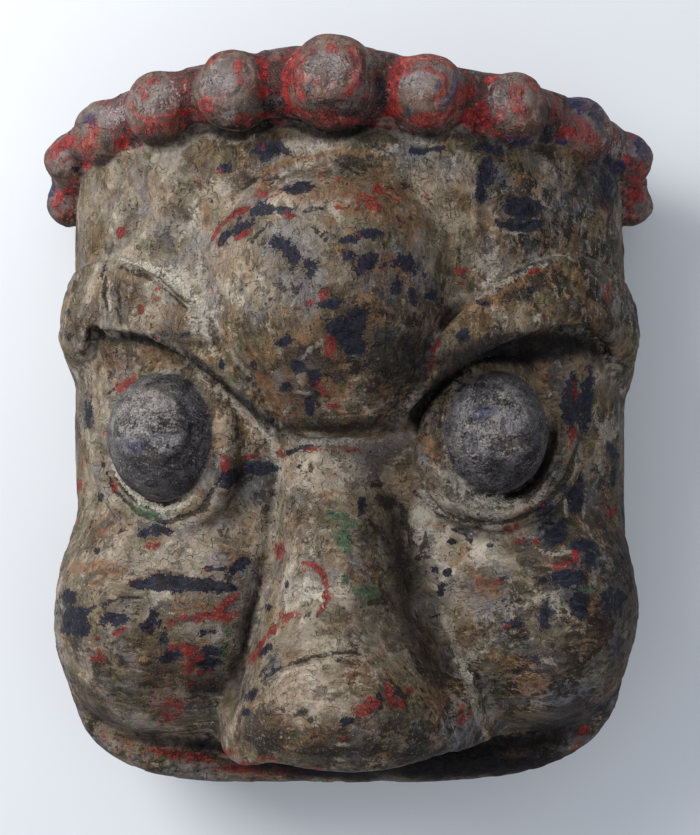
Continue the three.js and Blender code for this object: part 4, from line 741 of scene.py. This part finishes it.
def soften(x, rounds=3):
    """Evens a value out over neighbouring points."""
    for _ in range(rounds):
        x = 0.5 * x + 0.5 * (np.bincount(ends[:, 0], x[ends[:, 1]], n) + np.bincount(ends[:, 1], x[ends[:, 0]], n)) / degree
    return x


def evenly(x):
    """Ranks a noise so that its values are spread evenly from 0 to 1."""
    out = np.empty(n)
    out[np.argsort(x, kind="stable")] = np.linspace(0, 1, n)
    return out


cavity, edge = soften(cavity), soften(edge, 2)
cavity *= 1 - np.where(front, 0.6 * np.exp(-ellipse(u, v, 94, 341, 17, 21, 0) ** 2), 0)     # the fold at the left brow's end gets less of the hollow darkening, which is painted shade as well as grime
disp = relief(P, N, d, u, v, front, inner)
disp *= sstep(0.0, 3.0, P[:, 2])                           # the rim stays flat
P2 = P + N * disp[:, None]
P2[:, 2] = np.maximum(P2[:, 2], 0.0)
mesh.vertices.foreach_set("co", ((P2 + SHIFT) / 1000.0).ravel())
paint = paint_fields(P, u, v, front)
on_knob = front & (np.minimum(d["knob"], d["band"] - 3.0) < 3)
on_eye = front & (d["eye"] < 3)
crown = over_fields(P, u, v, on_knob, KNOB_PATCHES, KNOB_STROKES, ("red", "navy", "dark", "pale"))
sight = over_fields(P, u, v, on_eye, EYE_PATCHES, EYE_STROKES, ("dark", "pale", "blue"))
# painted shade: near-black darkening from the shade list, kept off the eyes
shade = np.zeros(n)
for cu, cv, ru, rv, ang, s in SHADE:
    shade = np.maximum(shade, np.where(front & ~on_eye & ((P[:, 2] < 90) | (cv < 740)), s * np.exp(-(0.75 * ellipse(u, v, cu, cv, ru, rv, ang)) ** 4), 0))
shade = np.clip(shade * (1 + 0.45 * fbm(P, 16, 3, seed=211)), 0, 1)
# the left eye is dark beyond its worn disc, the right one about its rim
r_eye = np.where(u < 330, np.hypot(u - 148, (v - 422) * 0.95) - 34, np.hypot((u - 494) * 1.05, v - 428) - 44)
sight["dark"] = np.maximum(sight["dark"], np.clip(r_eye / 14.0 + 0.5 * flakes(P, 9, 260), -1, 0.8))
# the ground's lighter and darker areas, partly painted light and shade
tones = sum(s * np.exp(-ellipse(u, v, cu, cv, ru, rv, ang) ** 2) for cu, cv, ru, rv, ang, s in TONES)
tones = np.where(N[:, 2] > 0.06, tones, -0.05)


def attribute(name, *cols):
    a = mesh.attributes.new(name, "FLOAT_COLOR", "POINT")
    c = np.ones((n, 4))
    for k, col in enumerate(cols):
        c[:, k] = col
    a.data.foreach_set("color", c.ravel())


knob_r = np.full(n, 2.0)
for x, y, z, r, nx, ny, nz in KNOBS:
    w = np.array([nx, ny, nz]) / np.linalg.norm([nx, ny, nz])
    q = P - np.array([x, y, z])
    ax = q @ w
    rad = np.sqrt(np.maximum((q * q).sum(1) - ax * ax, 0)) / r
    near = (np.sqrt((q * q).sum(1)) < r * 1.25)
    knob_r = np.where(near, np.minimum(knob_r, np.where(ax > 0, rad, 2 - rad)), knob_r)
attribute("paint1", 0.5 + 0.5 * paint["navy"], 0.5 + 0.5 * paint["red"], 0.5 + 0.5 * paint["green"])
attribute("paint2", 0.5 + 0.5 * paint["ochre"], 0.5 + 0.5 * paint["pale"], 0.5 + 0.5 * paint["dark"])
attribute("paint3", 0.5 + 0.5 * paint["blue"], 0.5 + 0.5 * paint["tan"], 0.5 + 0.5 * paint["olive"])
flow = np.clip(0.5 + 0.9 * fbm(P, 60, 2, seed=141) + 0.5 * sstep(-10, 60, P[:, 1]) - 0.5 * sstep(-50, -90, P[:, 1]), 0, 1)
# second channel: rising towards the right, where the ground is darkened as painted shade; third: the ground's tone,
# partly painted light and shade
attribute("flow", flow, sstep(-20.0, 130.0, P[:, 0]), np.clip(0.5 + 0.45 * fbm(P, 70, 3, seed=151) + 0.5 * tones, 0, 1))
attribute("over1", *[0.5 + 0.5 * np.where(on_eye, sight[a], crown[b]) for a, b in (("dark", "dark"), ("pale", "pale"), ("blue", "navy"))])
attribute("over2", 0.5 + 0.5 * np.where(on_eye, -1, crown["red"]), evenly(fbm(P, 12, 3, seed=161)), evenly(fbm(P, 19, 4, 0.55, seed=171)))
# third channel: the painted shade
attribute("wear_and_painted_shade", evenly(fbm(P, 12, 4, 0.55, seed=181)), evenly(fbm(P, 30, 4, 0.55, seed=191)), shade)
attribute("form", cavity, edge, np.clip(0.5 - d["eye"] / 4.0, 0, 1))
attribute("part", np.clip(0.5 - np.minimum(d["knob"], d["band"] - 3.0) / 4.0, 0, 1), inner.astype(float), knob_r / 2)
mesh.polygons.foreach_set("use_smooth", [True] * len(mesh.polygons))
mesh.update()


# ---- the painted paper ----------------------------------------------------------------------------------------------------
mat = bpy.data.materials.new("old_painted_paper")
mat.use_nodes = True
T = mat.node_tree
T.nodes.clear()


def node(kind, **kw):
    x = T.nodes.new(kind)
    for k, val in kw.items():
        setattr(x, k, val)
    return x


def put(sock, val):
    if isinstance(val, bpy.types.NodeSocket):
        T.links.new(val, sock)
    else:
        sock.default_value = val


def mth(op, a, b=None, c=None, clamp=False):
    x = node("ShaderNodeMath", operation=op, use_clamp=clamp)
    for k, val in enumerate((a, b, c)):
        if val is not None:
            put(x.inputs[k], val)
    return x.outputs[0]


def vec(op, a, b=None, scale=None):
    x = node("ShaderNodeVectorMath", operation=op)
    put(x.inputs[0], a)
    if b is not None:
        put(x.inputs[1], b)
    if scale is not None:
        put(x.inputs["Scale"], scale)
    return x.outputs[0]


def noise(p, size, detail=3.0, rough=0.55, distort=0.0, colour=False):
    x = node("ShaderNodeTexNoise")
    put(x.inputs["Vector"], p)
    x.inputs["Scale"].default_value = 1.0 / size
    x.inputs["Detail"].default_value = detail
    x.inputs["Roughness"].default_value = rough
    x.inputs["Distortion"].default_value = distort
    return x.outputs["Color" if colour else "Fac"]


def smooth(x, a, b, lo=0.0, hi=1.0):
    r = node("ShaderNodeMapRange", interpolation_type="SMOOTHSTEP")
    put(r.inputs["Value"], x)
    for name, val in (("From Min", a), ("From Max", b), ("To Min", lo), ("To Max", hi)):
        put(r.inputs[name], val)
    return r.outputs["Result"]


def mul(*xs):
    out = xs[0]
    for x in xs[1:]:
        out = mth("MULTIPLY", out, x)
    return out


def add(*xs):
    out = xs[0]
    for x in xs[1:]:
        out = mth("ADD", out, x)
    return out


def mix(f, a, b):
    x = node("ShaderNodeMix", data_type="RGBA")
    put(x.inputs[0], f)
    put(x.inputs[6], a)
    put(x.inputs[7], b)
    return x.outputs[2]


def rgb(r, g, b):
    return tuple((c / 255 / 12.92 if c <= 10 else ((c / 255 + 0.055) / 1.055) ** 2.4) for c in (r, g, b)) + (1.0,)


def ramp(f, stops):
    x = node("ShaderNodeValToRGB")
    put(x.inputs[0], f)
    el = x.color_ramp.elements
    while len(el) < len(stops):
        el.new(0.5)
    for e, (t, c) in zip(el, stops):
        e.position = t
    for e, (t, c) in zip(el, stops):
        e.color = c
    return x.outputs[0]


def attr(name):
    s = node("ShaderNodeSeparateColor")
    T.links.new(node("ShaderNodeAttribute", attribute_name=name).outputs["Color"], s.inputs[0])
    return s.outputs[0], s.outputs[1], s.outputs[2]


mm = vec("SCALE", node("ShaderNodeTexCoord").outputs["Object"], scale=1000.0)
bend = vec("SUBTRACT", noise(mm, 9.0, 1, colour=True), (0.5, 0.5, 0.5))
mw = vec("ADD", mm, vec("SCALE", bend, scale=8.0))


def drawn(p, sx, sy, sz):
    x = node("ShaderNodeMapping")
    T.links.new(p, x.inputs[0])
    x.inputs["Scale"].default_value = (sx, sy, sz)
    return x.outputs[0]


def about(x, k):
    return mul(mth("SUBTRACT", x, 0.5), k)


n6 = noise(mw, 6.0, 2, 0.6)
n3 = noise(mm, 3.4, 4, 0.64)
n1 = noise(mm, 0.95, 2, 0.6)
grain = noise(mm, 0.40, 1, 0.6)
navy_f, red_f, green_f = attr("paint1")
ochre_f, pale_f, dark_f = attr("paint2")
blue_f, tan_f, olive_f = attr("paint3")
cavity_f, edge_f, eye_f = attr("form")
knob_f, inner_f, ring_f = attr("part")
flow_f, right_shade_f, big_f = attr("flow")
o_dark, o_pale, o_blue = attr("over1")
o_red, n12, hue = attr("over2")
hue2, glaze_f, painted_shade_f = attr("wear_and_painted_shade")
fibre_h = noise(drawn(mw, 0.16, 1.0, 0.7), 1.7, 2, 0.6)
fibre_v = noise(drawn(mw, 1.0, 0.16, 0.7), 1.7, 2, 0.6)
flow_m = smooth(flow_f, 0.35, 0.65)
fibre = add(mul(fibre_h, mth("SUBTRACT", 1.0, flow_m)), mul(fibre_v, flow_m))

# edges of torn paper layers
n16 = noise(mw, 17.0, 3, 0.6)
step_a, step_b = smooth(n16, 0.462, 0.470), smooth(n16, 0.540, 0.548)
torn_a, torn_b = smooth(mth("ABSOLUTE", add(n16, -0.464)), 0.009, 0.002), smooth(mth("ABSOLUTE", add(n16, -0.542)), 0.009, 0.002)
torn_edge = mul(mth("MAXIMUM", torn_a, torn_b), smooth(n3, 0.44, 0.54))

# torn scraps of paper and paint: one random value for each
torn = vec("ADD", mw, vec("SCALE", vec("SUBTRACT", noise(mm, 3.6, 2, colour=True), (0.5, 0.5, 0.5)), scale=7.0))
cells = node("ShaderNodeTexVoronoi", feature="F1")
T.links.new(torn, cells.inputs["Vector"])
cells.inputs["Scale"].default_value = 1.0 / 13.0
sep = node("ShaderNodeSeparateColor")
T.links.new(cells.outputs["Color"], sep.inputs[0])
a_r, a_g, a_b = sep.outputs[0], sep.outputs[1], sep.outputs[2]

# the ground's tone: random variation and the listed tones, partly painted light and shade, and darker towards the right
# as painted shade
tone = add(0.5, about(big_f, 0.56), about(n12, 0.09), about(n6, 0.09), about(n3, 0.08), about(fibre, 0.11), about(a_r, 0.09), mul(add(step_a, step_b, -1.0), 0.02), mul(right_shade_f, -0.09))
col = ramp(tone, [(0.33, rgb(30, 23, 17)), (0.42, rgb(62, 50, 37)), (0.49, rgb(98, 83, 64)), (0.56, rgb(134, 119, 98)), (0.67, rgb(166, 152, 130))])
fine = add(about(n3, 0.7), about(n1, 0.25), about(fibre, 0.45), about(n6, 0.5))
wob = add(about(n3, 0.75), about(n1, 0.60), about(fibre, 0.30), about(n6, 0.75))


def shades(dark, light):
    return mix(smooth(add(mul(n3, 0.45), mul(n6, 0.2), mul(fibre, 0.35)), 0.36, 0.64), dark, light)


def layer(colour, value, a, b, paint, depth):
    return mix(mul(smooth(add(value, fine), a, b), depth), colour, paint)


def patch(colour, field, paint, depth=1.0, soft=0.05, k=1.0):
    return mix(mul(smooth(add(field, mul(wob, k)), 0.5 - soft, 0.5 + soft), depth), colour, paint)


# worn layers of thin paint and glaze, one over another: brown, grey, olive, dark
col = layer(col, hue, 0.66, 0.84, shades(rgb(78, 54, 31), rgb(130, 98, 62)), 0.55)
col = layer(col, hue, 0.24, 0.08, shades(rgb(66, 62, 60), rgb(120, 113, 108)), 0.45)
col = layer(col, hue2, 0.70, 0.88, shades(rgb(54, 48, 31), rgb(100, 90, 61)), 0.55)
col = layer(col, a_g, 0.72, 0.80, shades(rgb(112, 97, 77), rgb(152, 137, 113)), 0.22)
col = layer(col, glaze_f, 0.56, 0.78, shades(rgb(37, 28, 20), rgb(74, 57, 39)), 0.43)
col = layer(col, hue2, 0.20, 0.10, shades(rgb(30, 24, 19), rgb(58, 47, 36)), 0.46)
col = layer(col, a_b, 0.80, 0.84, shades(rgb(30, 26, 24), rgb(58, 50, 43)), 0.38)
col = patch(col, olive_f, shades(rgb(56, 50, 33), rgb(98, 88, 60)), 0.60, 0.09)
col = patch(col, tan_f, shades(rgb(116, 98, 78), rgb(160, 143, 119)), 0.52, 0.12)
# grey-blue paint, on the boss's upper left also a painted sheen
col = patch(col, blue_f, shades(rgb(78, 76, 75), rgb(110, 106, 103)), 0.62, 0.20)
col = patch(col, ochre_f, shades(rgb(70, 46, 28), rgb(122, 86, 53)), 0.70, 0.13)
# dark paint and chips, and painted shade under the brows and the nose
col = patch(col, dark_f, shades(rgb(16, 14, 13), rgb(40, 33, 27)), 0.86, 0.08)
# pale dust, and painted highlight on the lower lids' rims
col = patch(col, pale_f, mix(smooth(add(mul(n3, 0.6), mul(n1, 0.4)), 0.36, 0.64), rgb(128, 116, 98), rgb(180, 168, 146)), 0.45, 0.16, 1.0)
col = patch(col, green_f, shades(rgb(34, 50, 33), rgb(62, 84, 56)), 0.80, 0.05)
col = patch(col, navy_f, shades(rgb(8, 9, 14), rgb(29, 33, 46)), 0.93, 0.04)
col = patch(col, red_f, shades(rgb(54, 15, 13), rgb(122, 34, 28)), 0.86, 0.07, 1.35)

# eyes: blue-black, dusted
eye_m = smooth(eye_f, 0.35, 0.6)
eye_col = mix(smooth(add(mul(n1, 0.40), mul(n3, 0.28), mul(fibre, 0.17), mul(n12, 0.15)), 0.38, 0.64), rgb(15, 17, 27), rgb(116, 112, 108))
col = mix(eye_m, col, eye_col)

# crown knobs: worn grey fronts, red-brown sides and undersides
knob_m = smooth(knob_f, 0.35, 0.6)
kn = add(ring_f, about(n12, 0.10), about(n3, 0.45), about(n6, 0.4))
kcol = ramp(kn, [(0.0, rgb(118, 103, 96)), (0.18, rgb(98, 82, 77)), (0.32, rgb(80, 49, 44)), (0.52, rgb(46, 30, 26)), (0.9, rgb(40, 30, 27)), (1.0, rgb(82, 63, 56))])
kcol = layer(kcol, n12, 0.62, 0.74, rgb(88, 79, 72), 0.5)
kcol = mix(mul(smooth(add(mul(n3, 0.6), mul(fibre, 0.4)), 0.54, 0.62), 0.6), kcol, rgb(42, 32, 29))
kcol = mix(mul(smooth(add(mul(n3, 0.5), mul(n6, 0.5)), 0.50, 0.57), smooth(ring_f, 0.12, 0.26), 0.46), kcol, rgb(132, 36, 34))
col = mix(mul(knob_m, 0.94), col, kcol)
on_m = mth("MAXIMUM", knob_m, eye_m)
# pale over knobs and eyes: dust, and painted highlight glints on the fifth knob
col = mix(mul(on_m, smooth(add(o_pale, wob), 0.42, 0.60), 0.5), col, mix(smooth(n1, 0.35, 0.65), rgb(112, 106, 101), rgb(158, 150, 142)))
col = mix(mul(on_m, smooth(add(o_red, wob), 0.45, 0.54), 0.9), col, shades(rgb(74, 21, 21), rgb(152, 42, 38)))
col = mix(mul(on_m, smooth(add(o_blue, wob), 0.46, 0.54), 0.9), col, shades(rgb(14, 17, 32), rgb(36, 44, 80)))
col = mix(mul(on_m, smooth(add(o_dark, wob), 0.45, 0.56), 0.93), col, shades(rgb(8, 9, 13), rgb(25, 26, 34)))

clean = mth("SUBTRACT", 1.0, mul(smooth(add(navy_f, wob), 0.46, 0.54), 0.75))
# straw flecks, pits and the grain of the dusty surface
col = mix(mul(smooth(add(mul(fibre, 0.5), mul(n1, 0.5)), 0.57, 0.65), clean, 0.22), col, rgb(186, 170, 138))
col = mix(mul(torn_edge, 0.62), col, rgb(22, 18, 15))
col = mix(mul(smooth(add(mul(fibre, 0.45), mul(n1, 0.55)), 0.44, 0.35), 0.46), col, rgb(24, 20, 17))
col = mix(mul(smooth(grain, 0.55, 0.72), clean, 0.10), col, rgb(196, 182, 156))
col = mix(mul(smooth(grain, 0.45, 0.28), 0.20), col, rgb(20, 17, 15))

# dust in hollows, painted shade and grime in deep ones, painted shade from the shade list, rubbed edges
col = mix(mul(smooth(add(cavity_f, about(n12, 0.15)), 0.27, 0.46), smooth(n3, 0.40, 0.62), 0.34), col, rgb(164, 153, 134))
# deep hollows darkened: painted shade (occlusion) as well as grime
col = mix(mul(smooth(cavity_f, 0.36, 0.66), 0.88), col, rgb(22, 18, 15))
# the pale field again in hollows: dust, and painted highlight where the lid rims meet the creases
dust_and_highlight = mul(smooth(add(pale_f, mul(wob, 0.9)), 0.44, 0.66), smooth(cavity_f, 0.26, 0.45), 0.75)
col = mix(dust_and_highlight, col, mix(smooth(n1, 0.36, 0.64), rgb(120, 110, 92), rgb(184, 172, 150)))
# painted shade: near-black darkening from the shade list, under the nose and brows and in recesses
col = mix(mul(smooth(add(painted_shade_f, mul(wob, 0.5)), 0.10, 0.85), 0.92), col, shades(rgb(11, 11, 13), rgb(30, 26, 24)))
col = mix(mul(smooth(edge_f, 0.25, 0.6), smooth(n3, 0.42, 0.62), 0.5), col, rgb(156, 143, 122))

# inside: bare brown paper
in_col = ramp(add(mul(n6, 0.5), mul(fibre, 0.3), mul(n3, 0.2)), [(0.38, rgb(66, 52, 38)), (0.5, rgb(104, 86, 62)), (0.62, rgb(134, 116, 88))])
col = mix(inner_f, col, in_col)

bsdf = node("ShaderNodeBsdfPrincipled")
T.links.new(vec("MULTIPLY", col, (1.125, 1.195, 1.37)), bsdf.inputs["Base Color"])
T.links.new(smooth(add(mul(n6, 0.5), mul(n3, 0.5), mul(knob_m, -0.08), mul(eye_m, -0.05)), 0.35, 0.65, 0.46, 0.74), bsdf.inputs["Roughness"])
bsdf.inputs["Specular IOR Level"].default_value = 0.07
height = add(mul(step_a, 0.30), mul(step_b, 0.30), mul(n3, 0.70), mul(n1, 0.22), mul(fibre_h, 0.16), mul(fibre_v, 0.16))
bump = node("ShaderNodeBump")
bump.inputs["Strength"].default_value = 1.0
bump.inputs["Distance"].default_value = 0.0015
T.links.new(height, bump.inputs["Height"])
T.links.new(bump.outputs[0], bsdf.inputs["Normal"])
T.links.new(bsdf.outputs[0], node("ShaderNodeOutputMaterial").inputs[0])
mesh.materials.clear()
mesh.materials.append(mat)

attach(mask, "root")
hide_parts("mask")


# ---- floor, light, camera ---------------------------------------------------------------------------------------------------
fm = bpy.data.meshes.new("floor")
fm.from_pydata([(-4, -4, 0), (4, -4, 0), (4, 4, 0), (-4, 4, 0)], [], [(0, 1, 2, 3)])
floor = bpy.data.objects.new("floor", fm)
bpy.context.scene.collection.objects.link(floor)
fmat = bpy.data.materials.new("pale_floor")
fmat.use_nodes = True
T = fmat.node_tree
fb = T.nodes["Principled BSDF"]
fmm = vec("SCALE", node("ShaderNodeTexCoord").outputs["Object"], scale=1000.0)
T.links.new(mix(noise(fmm, 160, 3), rgb(213, 216, 221), rgb(219, 222, 226)), fb.inputs["Base Color"])
fb.inputs["Roughness"].default_value = 0.8
fm.materials.append(fmat)


def area(name, at, to, size, watts, colour):
    li = bpy.data.lights.new(name, "AREA")
    li.shape, li.size, li.size_y = "RECTANGLE", size[0], size[1]
    li.energy, li.color = watts, colour
    ob = bpy.data.objects.new(name, li)
    bpy.context.scene.collection.objects.link(ob)
    ob.location = at
    from mathutils import Vector
    ob.rotation_euler = (Vector(to) - Vector(at)).to_track_quat("-Z", "Y").to_euler()
    return ob


area("key", (-0.80, 0.54, 0.86), (-0.02, 0.0, 0.06), (0.7, 0.7), 16.2, (1.0, 0.99, 0.97))
world = bpy.data.worlds.new("studio")
world.use_nodes = True
world.node_tree.nodes["Background"].inputs[0].default_value = (0.86, 0.90, 0.97, 1)
world.node_tree.nodes["Background"].inputs[1].default_value = 0.70
bpy.context.scene.world = world
bpy.context.scene.view_settings.view_transform = "Standard"
bpy.context.scene.view_settings.look = "None"

cam = bpy.data.cameras.new("camera")
cam.sensor_width, cam.lens = 36.0, 85.365
cam.clip_start, cam.clip_end = 0.01, 30.0
camera = bpy.data.objects.new("camera", cam)
bpy.context.scene.collection.objects.link(camera)
camera.location = (SHIFT[0] / 1000, SHIFT[1] / 1000, EYE_H / 1000)
bpy.context.scene.camera = camera

bpy.context.view_layer.update()
